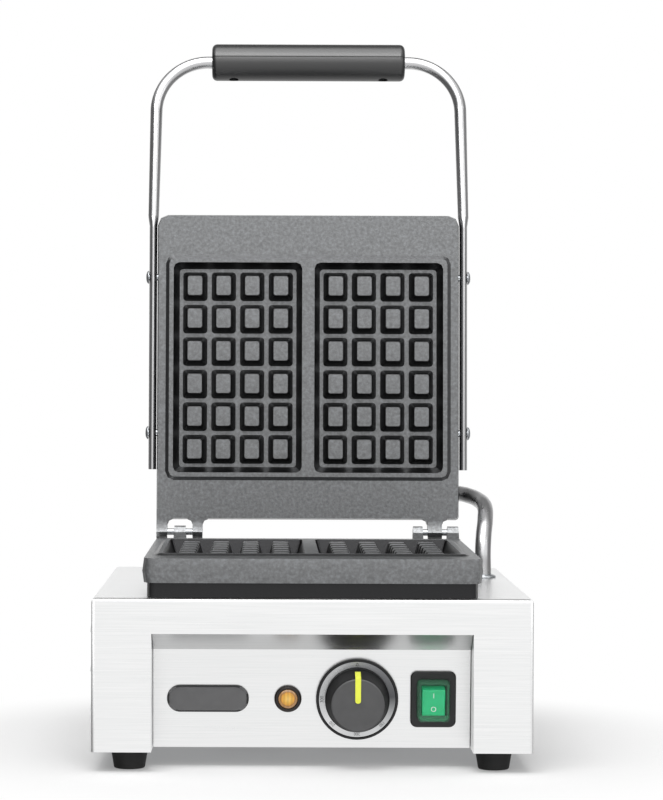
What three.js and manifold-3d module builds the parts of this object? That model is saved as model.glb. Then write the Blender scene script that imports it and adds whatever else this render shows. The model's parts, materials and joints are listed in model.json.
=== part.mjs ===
// A countertop iron for Liege waffles: a steel housing, two hinged cast-iron plates, a rod handle
// and a recessed control panel. Lengths are in millimetres, X runs to the right, Y to the back, Z up.
// The lid stands open, as it rests between two waffles.

import * as THREE from 'three';
import { mergeVertices } from 'three/addons/utils/BufferGeometryUtils.js';
import Module from 'manifold-3d';

const wasm = await Module();
wasm.setup();

const degrees = Math.PI / 180;
const fit = 0.3; // gap left where two pieces touch
const overrun = 2; // how far a cutting tool runs past what it cuts
const knobSides = 28; // of the knob and its dial
const roundSides = 18;
const smallSides = 8;
const wideRadius = 5; // pins and holes from this radius up get the round sides
const cornerSteps = 2;

const foot = {
  height: 14, topRadius: 12.85, bottomRadius: 10.5, inset: 25.5, setback: 27, recess: 5.2, recessDepth: 7.4,
};
const housing = { width: 305, depth: 310, height: 106.3, sheet: 1.5, bend: 3 };
const recess = { cheek: 41.5, cheekDepth: 31 };
const panel = {
  face: 69.3, fall: 12.3, upstandShare: 0.32, soffitSetback: 22, footSetback: 29, flange: 16,
};
const louvre = {
  count: 3, pitch: 27.5, lowest: 28.3, tall: 6.4, proud: 2.5, length: 80, start: 29.5, sheet: 1.1,
};
const cover = { sheet: 1.5, lip: 12, lipFront: 62, lipBack: 288, boss: 4.6, bossHeight: 4.5 };
const vent = { rows: 2, count: 5, pitch: 21, length: 46, width: 5, rowGap: 34 };
const footScrew = { head: 4.2, headHeight: 2.6, shank: 2, reach: 20 };

// Of the free width in the row of controls: left of the badge, lamp, dial and switch.
const controlGapShares = [0.177, 0.311, 0.177, 0.15];
const badge = { width: 57, height: 19, thickness: 1.2, corner: 9 };
const lamp = {
  bezel: 9.5, bezelProud: 2.6, barrel: 6.2, barrelLength: 27, lens: 6.8, lensProud: 4.4, seat: 1.6,
};
const lampNut = { across: 9.2, thickness: 3.2 };
const dial = { radius: 28.6, face: 27, thickness: 3, faceDrop: 0.5 };
const thermostat = { width: 46, height: 34, depth: 29, screwSpacing: 28, bushRadius: 5.2, corner: 3 };
const shaft = { radius: 3, inside: 7, outside: 17, flat: 1.1 };
const knob = {
  base: 22.4, cap: 19, crown: 17.4, height: 18.6, crownDrop: 1.2, skirt: 3, wall: 2.4, hub: 6,
  standOff: 0.9,
};
const pointer = { width: 4, proud: 0.6, inner: 1.5 };
const panelScrew = { shank: 1.8, head: 3.4, headHeight: 1.5, reach: 9 };
const switchFrame = { width: 31.7, height: 39.6, thickness: 2.2, corner: 4 };
const switchBody = { width: 24.6, height: 32, depth: 26, blade: 6.3, bladeThick: 0.8, bladeReach: 9 };
const bootCover = { width: 22.6, height: 28, proud: 14.5, wall: 1.1, corner: 2.6, draft: 0.5 };
const rocker = {
  width: 16, height: 18.7, pivotDepth: 1.5, ridge: 8.6, tilt: 7, radius: 9.8, trunnion: 1.6,
  trunnionLength: 1.2,
};

const plate = {
  sideMargin: 6.85, hingeMargin: 30.5, freeMargin: 31.8, corner: 8, hingeCorner: 2.5, rimHeight: 27,
  body: 17, draft: 1.15, partLine: 9, skirtInset: 3.4, skirtWall: 7, bossRadius: 7.5,
};
const pegs = {
  columns: 4, rows: 6, width: 19.1, length: 22.6, gapX: 3.2, gapY: 2.85, topInset: 3.65,
  height: 13,
};
const pocket = {
  wallGapX: 2.65, wallGapY: 2.45, wallInset: 4.4, depth: 12.6, divider: 9.6, corner: 4.5,
};
const ridge = { height: 1.4, flat: 3.3, slope: 2.7, corner: 7 };
const heater = {
  radius: 4, bend: 14, fromSide: 33.7, innerReach: 22, fromHingeEdge: 24.4, fromFreeEdge: 42.4,
  legBack: 64, leg: 15,
};
const clamp = {
  width: 26, thickness: 2, stud: 2.4, studSpacing: 100, fromHinge: 134, head: 5, headHeight: 2.2,
};
const plateBolt = { shank: 2.9, head: 5.6, headHeight: 3.8, reach: 9 };
const throat = { fromSide: 29.7, fromFreeEdge: 34, fromHinge: 43.4 };
const shield = { flange: 9, sheet: 1, drop: 9 };
const bulb = { radius: 3, length: 78, centre: 36, start: 96, tube: 1.3 };

const hinge = {
  edgeGap: 9.6, ear: 5.2, lug: 5, pin: 2.5, faceOffset: 1, closedGap: 0.4, root: 4,
  taperShare: 0.09,
};
// How far in from the plate's side each hinge tab starts and ends. Lugs stand on the lower plate.
const tabs = {
  leftEars: [[0.4, 8.7], [28.4, 36.1]],
  leftLugs: [[13.8, 23.6]],
  rightEars: [[13.7, 24.6]],
  rightLugs: [[28.2, 36.4], [0.5, 10]],
};
const lidLean = 2.5; // degrees past upright where the open lid rests

const back = { sideFlange: 24, endFlange: 5, height: 19, sheet: 1.2, corner: 5, slope: 1.5, edge: 2.5 };
const backScrew = { head: 3.6, headHeight: 2, shank: 1.9, reach: 8 };
const rod = {
  radius: 4.8, flatHalf: 3.1, flatWidth: 7, roundFrom: 9, merge: 12, legStart: 48.4, knee: 4.4, rise: 124,
  bend: 41, kneeBend: 30, lean: 11.5, drawIn: 1.6, sides: 12, bendSteps: 4,
};
const grip = { radius: 14.5, length: 152.5, round: 4, seam: 0.3, screwInset: 17.2 };
const gripScrew = { head: 3.4, headHeight: 2, shank: 1.6, depth: 4.4 };
const sideBolt = { head: 5.2, headHeight: 2.2, shank: 2.6, reach: 8, low: 77, fromFreeEdge: 49 };

const conduit = { radius: 6, collar: 9.6, collarHeight: 2.6, sides: 10, steps: 20 };
const nipple = {
  radius: 8, length: 7, sleeve: 7.2, sleeveLength: 5, seat: 3, wires: 4, height: 30.5, depth: 37,
};
const gland = {
  fromSide: 57.5, height: 29.6, hex: 11, hexDepth: 5, dome: 9.4, domeDepth: 13, bore: 4.6, thread: 7.6,
  inside: 10, nut: 10.6, nutDepth: 4.5,
};
const terminals = { width: 42, depth: 22, height: 17, poles: 3, screw: 2.6, screwDepth: 4, setback: 46 };

const floorZ = foot.height;
const topZ = floorZ + housing.height;
const rimZ = topZ + fit + plate.rimHeight;
const axisZ = rimZ + 2 * ridge.height + hinge.closedGap + hinge.faceOffset;
const soffitZ = floorZ + panel.face;
const bandZ = soffitZ + panel.fall;
const controlZ = floorZ + panel.face / 2;
const insideX = housing.width / 2 - housing.sheet;
const recessHalf = housing.width / 2 - recess.cheek;
const overallDepth = housing.depth + gland.hexDepth + gland.domeDepth;
const glandPlace = [housing.width / 2 - gland.fromSide, housing.depth, floorZ + gland.height];
const [badgeX, lampX, dialX, switchX] = controlCentres();

// The pegs and walls of two pockets, their raised frame and the margins give a plate its size. Its free
// edge lies flush with the housing's front, and the hinge's axis runs a little behind the other edge.
const floorX = pegs.columns * pegs.width + (pegs.columns - 1) * pegs.gapX + 2 * pocket.wallGapX;
const floorY = pegs.rows * pegs.length + (pegs.rows - 1) * pegs.gapY + 2 * pocket.wallGapY;
const mouthX = floorX + 2 * pocket.wallInset;
const mouthY = floorY + 2 * pocket.wallInset;
const pocketX = (pocket.divider + mouthX) / 2;
const pocketY = -hinge.edgeGap - plate.hingeMargin - ridge.slope - ridge.flat - mouthY / 2;
const plateWidth = pocket.divider + 2 * (mouthX + ridge.flat + ridge.slope + plate.sideMargin);
const plateLength = plate.hingeMargin + 2 * (ridge.slope + ridge.flat) + mouthY + plate.freeMargin;
const hingeY = hinge.edgeGap + plateLength;
const outerReach = plateWidth / 2 - heater.fromSide;
const gripScrewX = grip.length / 2 - grip.screwInset;
const [leftEars, leftLugs] = [tabs.leftEars, tabs.leftLugs].map((set) => tabSpans(set, -1));
const [rightEars, rightLugs] = [tabs.rightEars, tabs.rightLugs].map((set) => tabSpans(set, 1));

// The badge, lamp, dial and switch share out the recess's width.
function controlCentres() {
  const widths = [badge.width, 2 * lamp.bezel, 2 * dial.radius, switchFrame.width];
  const free = widths.reduce((left, width) => left - width, 2 * recessHalf);
  let edge = -recessHalf;
  return widths.map((width, i) => {
    edge += controlGapShares[i] * free + width;
    return edge - width / 2;
  });
}

// Turns insets from a plate's side into places along X.
function tabSpans(set, side) {
  return set.map((insets) => {
    const ends = insets.map((inset) => side * (plateWidth / 2 - inset));
    return { from: Math.min(...ends), to: Math.max(...ends) };
  });
}

const steel = { color: 0xd9dadb, roughness: 0.32, metalness: 1 };
const polished = { color: 0xe4e5e6, roughness: 0.14, metalness: 1 };
const castIron = { color: 0x4a4b4c, roughness: 0.6, metalness: 0.7 };
const zincSteel = { color: 0xb9bcbf, roughness: 0.35, metalness: 1 };
const blackRubber = { color: 0x1b1b1c, roughness: 0.85, metalness: 0 };
const blackPlastic = { color: 0x242425, roughness: 0.45, metalness: 0 };
const greyPlastic = { color: 0x3b3c3f, roughness: 0.4, metalness: 0 };
const limePlastic = { color: 0xe2ec4c, roughness: 0.4, metalness: 0 };
const greenPlastic = { color: 0x2fcf8b, roughness: 0.3, metalness: 0 };
const clearRubber = { color: 0x5c8f72, roughness: 0.25, metalness: 0 };
const amberGlass = { color: 0xdf9a2c, roughness: 0.2, metalness: 0 };
const ceramic = { color: 0xe8e2d4, roughness: 0.7, metalness: 0 };
const copper = { color: 0xb87345, roughness: 0.35, metalness: 1 };

// Solids from outlines

function signedVolume(position, corners) {
  const [a, b, c] = [new THREE.Vector3(), new THREE.Vector3(), new THREE.Vector3()];
  let volume = 0;
  for (let i = 0; i < corners.length; i += 3) {
    a.fromBufferAttribute(position, corners[i]);
    b.fromBufferAttribute(position, corners[i + 1]);
    c.fromBufferAttribute(position, corners[i + 2]);
    volume += a.dot(b.cross(c)) / 6;
  }
  return volume;
}

// A solid that can be joined and cut, with its faces turned outwards.
function solid(geometry) {
  const bare = geometry.index ? geometry.toNonIndexed() : geometry.clone();
  bare.deleteAttribute('normal');
  bare.deleteAttribute('uv');
  const merged = mergeVertices(bare);
  const all = merged.index.array;
  const corners = [];
  for (let i = 0; i < all.length; i += 3) {
    const [a, b, c] = [all[i], all[i + 1], all[i + 2]];
    if (a !== b && b !== c && c !== a) corners.push(a, b, c);
  }
  if (signedVolume(merged.attributes.position, corners) < 0) corners.reverse();
  return new wasm.Manifold(new wasm.Mesh({
    numProp: 3,
    vertProperties: Float32Array.from(merged.attributes.position.array),
    triVerts: Uint32Array.from(corners),
  }));
}

function join(...solids) {
  return solids.reduce((whole, next) => whole.add(next));
}

function cut(body, ...tools) {
  return tools.reduce((left, tool) => left.subtract(tool), body);
}

function block(x0, x1, y0, y1, z0, z1) {
  const box = new THREE.BoxGeometry(x1 - x0, y1 - y0, z1 - z0);
  return solid(box.translate((x0 + x1) / 2, (y0 + y1) / 2, (z0 + z1) / 2));
}

function roundedOutline(width, depth, radius, steps = cornerSteps, farRadius = radius) {
  const points = [];
  [[1, 1], [-1, 1], [-1, -1], [1, -1]].forEach(([sideX, sideY], quarter) => {
    const corner = sideY > 0 ? farRadius : radius;
    for (let i = 0; i <= steps; i++) {
      const angle = (quarter + i / Math.max(steps, 1)) * Math.PI / 2;
      points.push(new THREE.Vector2(
        sideX * (width / 2 - corner) + corner * Math.cos(angle),
        sideY * (depth / 2 - corner) + corner * Math.sin(angle),
      ));
    }
  });
  return points;
}

// A closed skin over convex rings that all have the same number of points.
function skin(rings) {
  const count = rings[0].length;
  const last = (rings.length - 1) * count;
  const corners = [];
  for (let ring = 0; ring < rings.length - 1; ring++) {
    for (let i = 0; i < count; i++) {
      const a = ring * count + i;
      const b = ring * count + (i + 1) % count;
      corners.push(a, b, b + count, a, b + count, a + count);
    }
  }
  for (let i = 1; i < count - 1; i++) {
    corners.push(0, i + 1, i, last, last + i, last + i + 1);
  }
  const geometry = new THREE.BufferGeometry().setFromPoints(rings.flat());
  geometry.setIndex(corners);
  return geometry;
}

// Stacks outlines, each with its height, into one solid.
function stack(levels) {
  return skin(levels.map(([outline, z]) => outline.map((p) => new THREE.Vector3(p.x, p.y, z))));
}

function prism(outline, z0, z1) {
  const shape = new THREE.Shape(outline);
  return new THREE.ExtrudeGeometry(shape, { depth: z1 - z0, bevelEnabled: false }).translate(0, 0, z0);
}

// An outline of (y, z) points drawn out along X.
function sideProfile(outline, x0, x1) {
  const turn = new THREE.Matrix4().makeBasis(
    new THREE.Vector3(0, 1, 0), new THREE.Vector3(0, 0, 1), new THREE.Vector3(1, 0, 0),
  );
  const shape = outline.map(([y, z]) => new THREE.Vector2(y, z));
  return solid(prism(shape, x0, x1).applyMatrix4(turn));
}

// An outline of (x, z) points drawn out along Y.
function frontProfile(outline, y0, y1) {
  const shape = outline.map(([x, z]) => new THREE.Vector2(x, z));
  return solid(prism(shape, -y1, -y0).rotateX(Math.PI / 2));
}

// A profile of [radius, height] pairs turned about Z. It meets the axis or closes on itself.
function revolve(profile, sides = roundSides) {
  const points = profile.map(([radius, height]) => new THREE.Vector2(radius, height));
  return new THREE.LatheGeometry(points, sides).rotateX(Math.PI / 2);
}

function pinProfile(radius, from, to) {
  return [[0, from], [radius, from], [radius, to], [0, to]];
}

const turns = {
  up: (geometry) => geometry,
  down: (geometry) => geometry.rotateX(Math.PI),
  front: (geometry) => geometry.rotateX(Math.PI / 2),
  rear: (geometry) => geometry.rotateX(-Math.PI / 2),
  right: (geometry) => geometry.rotateY(Math.PI / 2),
  left: (geometry) => geometry.rotateY(-Math.PI / 2),
};

// A revolved solid whose axis starts at a place and points one way.
function turned(profile, way, place, sides = roundSides) {
  return solid(turns[way](revolve(profile, sides)).translate(...place));
}

// A plain pin or hole. Wide ones get more sides.
function bore(radius, from, to, way, place, sides = radius < wideRadius ? smallSides : roundSides) {
  return turned(pinProfile(radius, from, to), way, place, sides);
}

// The outline of a bent sheet: one face's points, then the other face's, a thickness away.
function foldedSheet(face, thickness) {
  const points = face.map(([y, z]) => new THREE.Vector2(y, z));
  const other = points.map((point, i) => {
    const before = i > 0 ? point.clone().sub(points[i - 1]).normalize() : null;
    const after = i < points.length - 1 ? points[i + 1].clone().sub(point).normalize() : null;
    const first = before ?? after;
    const second = after ?? before;
    const normal = new THREE.Vector2(first.y + second.y, -first.x - second.x).normalize();
    const half = normal.dot(new THREE.Vector2(first.y, -first.x));
    return point.clone().addScaledVector(normal, thickness / half);
  });
  return [...points, ...other.reverse()].map((p) => [p.x, p.y]);
}

function tube(points, radius, sides, steps) {
  const places = points.map((p) => new THREE.Vector3(...p));
  const curve = new THREE.CatmullRomCurve3(places, false, 'centripetal');
  const section = new THREE.Shape();
  section.absarc(0, 0, radius, 0, 2 * Math.PI);
  return new THREE.ExtrudeGeometry(section, { extrudePath: curve, steps, curveSegments: sides / 2 });
}

// An arc that rounds the corner between two straight runs.
class Bend extends THREE.Curve {
  constructor(start, corner, end) {
    super();
    const toStart = start.clone().sub(corner);
    const toEnd = end.clone().sub(corner);
    const half = toStart.angleTo(toEnd) / 2;
    const inwards = toStart.clone().normalize().add(toEnd.clone().normalize());
    this.centre = inwards.setLength(toStart.length() / Math.cos(half)).add(corner);
    this.arm = start.clone().sub(this.centre);
    this.axis = this.arm.clone().cross(end.clone().sub(this.centre)).normalize();
    this.angle = Math.PI - 2 * half;
  }

  getPoint(share, target = new THREE.Vector3()) {
    return target.copy(this.arm).applyAxisAngle(this.axis, share * this.angle).add(this.centre);
  }
}

// A path of straight runs with round corners, one bend radius for each inner point.
function bentPath(points, radii) {
  const path = new THREE.CurvePath();
  const corners = points.map((p) => new THREE.Vector3(...p));
  let from = corners[0];
  for (let i = 1; i < corners.length - 1; i++) {
    const behind = corners[i - 1].clone().sub(corners[i]).normalize();
    const ahead = corners[i + 1].clone().sub(corners[i]).normalize();
    const reach = radii[i - 1] / Math.tan(behind.angleTo(ahead) / 2);
    const start = corners[i].clone().addScaledVector(behind, reach);
    const end = corners[i].clone().addScaledVector(ahead, reach);
    path.add(new THREE.LineCurve3(from, start));
    path.add(new Bend(start, corners[i], end));
    from = end;
  }
  path.add(new THREE.LineCurve3(from, corners[corners.length - 1]));
  return path;
}

// Draws an oval section along a bent path. The first half width lies along the given direction.
// Rings stand at the ends of each run, along each bend and at the marks, which are distances.
function sweep(path, sides, halfSizes, across, bendSteps, marks = []) {
  const total = path.getLength();
  const stops = [0, ...marks];
  let run = 0;
  for (const curve of path.curves) {
    const length = curve.getLength();
    const steps = curve instanceof Bend ? bendSteps : 1;
    for (let i = 1; i <= steps; i++) stops.push(run + length * i / steps);
    run += length;
  }
  stops.sort((a, b) => a - b);
  let tangent = path.getTangentAt(0);
  const normal = new THREE.Vector3(...across);
  return stops.map((stop) => {
    const share = Math.min(stop / total, 1);
    const next = path.getTangentAt(share);
    normal.applyQuaternion(new THREE.Quaternion().setFromUnitVectors(tangent, next));
    tangent = next;
    const other = tangent.clone().cross(normal);
    const [first, second] = halfSizes(stop, total);
    const centre = path.getPointAt(share);
    return Array.from({ length: sides }, (_, j) => {
      const angle = 2 * Math.PI * (j + 0.5) / sides;
      return centre.clone()
        .addScaledVector(normal, first * Math.cos(angle))
        .addScaledVector(other, second * Math.sin(angle));
    });
  });
}

function piece(name, body, finish) {
  const geometry = new THREE.BufferGeometry();
  const { vertProperties, triVerts, numProp } = body.getMesh();
  const position = new Float32Array(vertProperties.length / numProp * 3);
  for (let i = 0; i < position.length / 3; i++) {
    for (let axis = 0; axis < 3; axis++) position[3 * i + axis] = vertProperties[numProp * i + axis];
  }
  geometry.setAttribute('position', new THREE.BufferAttribute(position, 3));
  geometry.setIndex(Array.from(triVerts));
  geometry.computeVertexNormals();
  const mesh = new THREE.Mesh(geometry, new THREE.MeshStandardMaterial(finish));
  mesh.name = name;
  return mesh;
}

// Housing

// A quarter-round hood pressed out of a side wall, open at its lower edge.
function hoodOutline(proud, tall, inset) {
  const points = [];
  for (let i = 0; i <= cornerSteps; i++) {
    const angle = i / cornerSteps * Math.PI / 2;
    points.push([proud * Math.cos(angle), tall * Math.sin(angle)]);
  }
  return [[-inset, tall], [-inset, 0], ...points];
}

function sideLouvres(side) {
  const hoods = [];
  const slots = [];
  const wall = housing.width / 2;
  for (let i = 0; i < louvre.count; i++) {
    const z = floorZ + louvre.lowest + i * louvre.pitch - louvre.tall / 2;
    const place = ([x, height]) => [side * (wall + x), z + height];
    const shell = hoodOutline(louvre.proud, louvre.tall, housing.sheet).map(place);
    const { proud, tall, sheet, start, length } = louvre;
    const hollow = hoodOutline(proud - sheet, tall - sheet, housing.sheet + overrun)
      .map(([x, height]) => place([x, height > 0 ? height : -sheet]));
    hoods.push(frontProfile(shell, start, start + length));
    slots.push(frontProfile(hollow, start + sheet, start + length - sheet));
  }
  return { hoods, slots };
}

function roundedBox(width, depth, z0, z1, radius) {
  const middle = (z0 + z1 - radius) / 2;
  const tall = z1 - z0 + radius;
  const front = roundedOutline(width, tall, radius).map((p) => [p.x, p.y + middle]);
  const side = roundedOutline(depth, tall, radius).map((p) => [p.x + depth / 2, p.y + middle]);
  const plan = prism(roundedOutline(width, depth, radius), z0, z1).translate(0, depth / 2, 0);
  const across = sideProfile(side, -width / 2, width / 2);
  return frontProfile(front, 0, depth).intersect(across).intersect(solid(plan));
}

function housingShell() {
  const { sheet, bend, width, depth } = housing;
  const outer = roundedBox(width, depth, floorZ, topZ, bend);
  const [innerWidth, innerDepth] = [width - 2 * sheet, depth - 2 * sheet];
  const inner = roundedBox(innerWidth, innerDepth, floorZ - overrun, topZ - sheet, bend - sheet)
    .translate([0, sheet, 0]);
  const mouth = block(-recessHalf, recessHalf, -overrun, sheet + overrun, floorZ - overrun, bandZ);
  const { halfWidth, front, rear } = throatSpan();
  const opening = block(-halfWidth, halfWidth, front, rear, topZ - 2 * sheet, topZ + overrun);
  const cheeks = [-1, 1].map((side) => {
    const x = side * (recessHalf + sheet / 2);
    return block(x - sheet / 2, x + sheet / 2, sheet / 2, recess.cheekDepth, floorZ, bandZ + sheet);
  });
  const plateHoles = boltPlaces().map(([x, y]) => (
    bore(plateBolt.shank + fit, -overrun - sheet, overrun, 'up', [x, y, topZ])
  ));
  const louvres = [sideLouvres(-1), sideLouvres(1)];
  const [exitX, exitY] = conduitRoute()[0];
  return cut(
    join(cut(outer, inner, mouth), ...cheeks, ...louvres.flatMap((set) => set.hoods)),
    ...louvres.flatMap((set) => set.slots),
    opening,
    ...plateHoles,
    bore(conduit.radius + fit, -overrun - sheet, overrun, 'up', [exitX, exitY, topZ]),
    bore(gland.thread + fit, -overrun - sheet, overrun, 'rear', glandPlace),
  );
}

function panelSetback(z) {
  const share = (soffitZ - z) / (soffitZ - floorZ);
  return panel.soffitSetback + share * (panel.footSetback - panel.soffitSetback);
}

const panelTilt = Math.atan2(panel.footSetback - panel.soffitSetback, soffitZ - floorZ);
const controls = new THREE.Group();
controls.position.set(0, panelSetback(controlZ), controlZ);
controls.rotation.x = panelTilt;
controls.updateMatrix();

// Moves a cutting tool that is drawn on the controls' own axes to its place in the panel.
function onPanel(tool) {
  return tool.transform(controls.matrix.elements);
}

function controlPanel() {
  const { sheet } = housing;
  const halfWidth = recessHalf - fit;
  const face = [
    [sheet + fit, bandZ + panel.upstandShare * (topZ - bandZ)],
    [sheet + fit, bandZ],
    [panel.soffitSetback, soffitZ],
    [panel.footSetback, floorZ],
    [panel.footSetback + panel.flange, floorZ],
  ];
  const folded = sideProfile(foldedSheet(face, -sheet), -halfWidth, halfWidth);
  const through = (radius, x) => bore(radius, -sheet - overrun, overrun, 'front', [x, 0, 0]);
  const screws = [-1, 1].map((side) => dialX + side * thermostat.screwSpacing / 2);
  const window = block(
    switchX - switchBody.width / 2 - fit, switchX + switchBody.width / 2 + fit,
    -overrun, sheet + overrun, -switchBody.height / 2 - fit, switchBody.height / 2 + fit,
  );
  return cut(
    folded,
    onPanel(through(lamp.barrel + fit, lampX)),
    onPanel(through(thermostat.bushRadius + fit, dialX)),
    ...screws.map((x) => onPanel(through(panelScrew.shank + fit, x))),
    onPanel(window),
  );
}

function footPlaces() {
  const x = housing.width / 2 - foot.inset;
  const near = foot.setback;
  const far = housing.depth - foot.setback;
  return [
    ['front_left', -x, near], ['front_right', x, near], ['rear_left', -x, far], ['rear_right', x, far],
  ];
}

function bottomCover() {
  const halfWidth = insideX - fit;
  const front = housing.sheet + fit;
  const rear = housing.depth - housing.sheet - fit;
  const z1 = floorZ + cover.sheet;
  const notch = recessHalf + housing.sheet + fit;
  const notchBack = panel.footSetback + panel.flange + fit;
  const lips = [-1, 1].map((side) => {
    const x = side * (halfWidth - cover.sheet / 2);
    const half = cover.sheet / 2;
    return block(x - half, x + half, cover.lipFront, cover.lipBack, floorZ, z1 + cover.lip);
  });
  const bosses = footPlaces().map(([, x, y]) => bore(cover.boss, 0, cover.bossHeight, 'up', [x, y, z1]));
  const holes = footPlaces().map(([, x, y]) => (
    bore(footScrew.shank + fit, -foot.height, foot.height, 'up', [x, y, z1])
  ));
  const slots = [];
  for (let row = 0; row < vent.rows; row++) {
    for (let i = 0; i < vent.count; i++) {
      const x = (row - (vent.rows - 1) / 2) * (vent.length + vent.rowGap);
      const y = housing.depth / 2 + (i - (vent.count - 1) / 2) * vent.pitch;
      const outline = roundedOutline(vent.length, vent.width, vent.width / 2, 1);
      slots.push(solid(prism(outline, floorZ - overrun, z1 + overrun).translate(x, y, 0)));
    }
  }
  const sheet = prism(roundedOutline(2 * halfWidth, rear - front, housing.bend), floorZ, z1);
  return cut(
    join(solid(sheet.translate(0, (front + rear) / 2, 0)), ...lips, ...bosses),
    block(-notch, notch, front - overrun, notchBack, floorZ - overrun, z1 + overrun),
    ...holes,
    ...slots,
  );
}

function rubberFoot(x, y) {
  const top = foot.height - fit;
  const hole = footScrew.shank + fit;
  const profile = [
    [hole, top], [foot.topRadius, top], [foot.bottomRadius, 0], [foot.recess, 0],
    [foot.recess, foot.recessDepth], [hole, foot.recessDepth], [hole, top],
  ];
  return turned(profile, 'up', [x, y, 0], roundSides);
}

function footScrewBody(x, y) {
  const seat = foot.recessDepth - fit;
  const { head, headHeight, shank, reach } = footScrew;
  const profile = [
    [0, seat - headHeight], [head / 2, seat - headHeight], [head, seat - headHeight / 2], [head, seat],
    [shank, seat], [shank, seat + reach - headHeight], [0, seat + reach - headHeight],
  ];
  return turned(profile, 'up', [x, y, 0], smallSides);
}

// Controls, on the panel's own axes: its face is at y = 0 and the controls stand out towards -Y

function badgePlate() {
  const outline = roundedOutline(badge.width, badge.height, badge.corner);
  const plain = prism(outline, fit, fit + badge.thickness).rotateX(Math.PI / 2);
  return solid(plain.translate(badgeX, 0, 0));
}

function lampBezel() {
  const { bezel, bezelProud, barrel, barrelLength, lens, seat } = lamp;
  const profile = [
    [0, -barrelLength], [barrel, -barrelLength], [barrel, fit], [bezel, fit], [bezel, fit + bezelProud / 2],
    [bezel - bezelProud / 2, fit + bezelProud], [lens + fit, fit + bezelProud], [lens + fit, seat],
    [0, seat],
  ];
  return turned(profile, 'front', [lampX, 0, 0]);
}

function lampLens() {
  const from = lamp.seat + fit;
  const profile = [[0, from], [lamp.lens, from]];
  for (let i = 0; i <= cornerSteps; i++) {
    const angle = i / cornerSteps * Math.PI / 2;
    const rise = (lamp.lensProud - lamp.bezelProud) * Math.sin(angle);
    profile.push([lamp.lens * Math.cos(angle), lamp.bezelProud + rise]);
  }
  profile[profile.length - 1][0] = 0;
  return turned(profile, 'front', [lampX, 0, 0]);
}

function hexNut(across, inner, from, to, way, place) {
  const outer = turned(pinProfile(across, from, to), way, place, 6);
  return cut(outer, bore(inner, from - overrun, to + overrun, way, place));
}

function dialPlate() {
  const { radius, face, thickness, faceDrop } = dial;
  const inner = thermostat.bushRadius + fit;
  const top = fit + thickness;
  const profile = [
    [inner, fit], [radius, fit], [radius, top - faceDrop], [radius - faceDrop, top], [face, top],
    [face - faceDrop, top - faceDrop], [inner, top - faceDrop], [inner, fit],
  ];
  const body = turned(profile, 'front', [dialX, 0, 0], knobSides);
  const sinks = [-1, 1].map((side) => {
    const place = [dialX + side * thermostat.screwSpacing / 2, 0, 0];
    const wide = bore(panelScrew.head + fit, top - faceDrop - panelScrew.headHeight, top, 'front', place);
    return join(wide, bore(panelScrew.shank + fit, 0, top, 'front', place));
  });
  return cut(body, ...sinks);
}

function panelScrewBody(side) {
  const place = [dialX + side * thermostat.screwSpacing / 2, 0, 0];
  const seat = fit + dial.thickness - dial.faceDrop - panelScrew.headHeight + fit;
  const tip = -housing.sheet - panelScrew.reach;
  const profile = [
    [0, tip], [panelScrew.shank, tip], [panelScrew.shank, seat], [panelScrew.head, seat],
    [panelScrew.head, seat + panelScrew.headHeight - 2 * fit], [0, seat + panelScrew.headHeight - 2 * fit],
  ];
  return turned(profile, 'front', place, smallSides);
}

function thermostatBody() {
  const { width, height, depth, corner, screwSpacing, bushRadius } = thermostat;
  const start = housing.sheet + fit;
  const can = prism(roundedOutline(width, height, corner), -start - depth, -start).rotateX(Math.PI / 2);
  const bush = bore(bushRadius, -start - overrun, dial.thickness - fit, 'front', [0, 0, 0], smallSides);
  const places = [-1, 1].map((side) => [side * screwSpacing / 2, 0, 0]);
  const tapped = places.map((place) => (
    bore(panelScrew.shank + fit, -start - panelScrew.reach - overrun, overrun, 'front', place)
  ));
  const body = cut(
    join(solid(can), bush),
    bore(shaft.radius + fit, -start - shaft.inside - fit, dial.thickness + overrun, 'front', [0, 0, 0]),
    ...tapped,
  );
  return body.translate([dialX, 0, 0]);
}

// The D-shaped end of the shaft, which the knob's hub follows with a clearance.
function shaftSection(clearance, from, to) {
  const round = bore(shaft.radius + clearance, from, to, 'front', [0, 0, 0]);
  const flatX = shaft.radius - shaft.flat + clearance;
  const wide = 2 * shaft.radius;
  const side = block(flatX, wide, -to - overrun, -from + overrun, -wide, wide);
  return cut(round, side);
}

function thermostatShaft() {
  const start = housing.sheet + fit;
  const knobFloor = fit + dial.thickness + knob.standOff;
  return join(
    bore(shaft.radius, -start - shaft.inside, knobFloor, 'front', [0, 0, 0]),
    shaftSection(0, knobFloor - overrun, shaft.outside),
  ).translate([dialX, 0, 0]);
}

function knobOutline() {
  const from = fit + dial.thickness + knob.standOff;
  const top = from + knob.height;
  return [
    [knob.base, from], [knob.base, from + knob.skirt], [knob.cap, top - knob.crownDrop],
    [knob.crown, top], [0, top],
  ];
}

function thermostatKnob() {
  const { base, wall, height, hub, standOff } = knob;
  const from = fit + dial.thickness + standOff;
  const roof = from + height - wall;
  const outline = knobOutline();
  const taper = (knob.base - knob.cap) / height;
  const hollow = [
    [0, from - overrun], [base - wall, from - overrun],
    [base - wall - taper * (roof - from), roof], [0, roof],
  ];
  const body = cut(
    turned([[0, from], ...outline], 'front', [0, 0, 0], knobSides),
    turned(hollow, 'front', [0, 0, 0]),
  );
  const boss = bore(hub, from, roof + wall / 2, 'front', [0, 0, 0], smallSides);
  const inlay = pointerBody(fit, overrun);
  const socket = shaftSection(fit, from - overrun, shaft.outside + fit);
  return cut(join(body, boss), socket, inlay).translate([dialX, 0, 0]);
}

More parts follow.
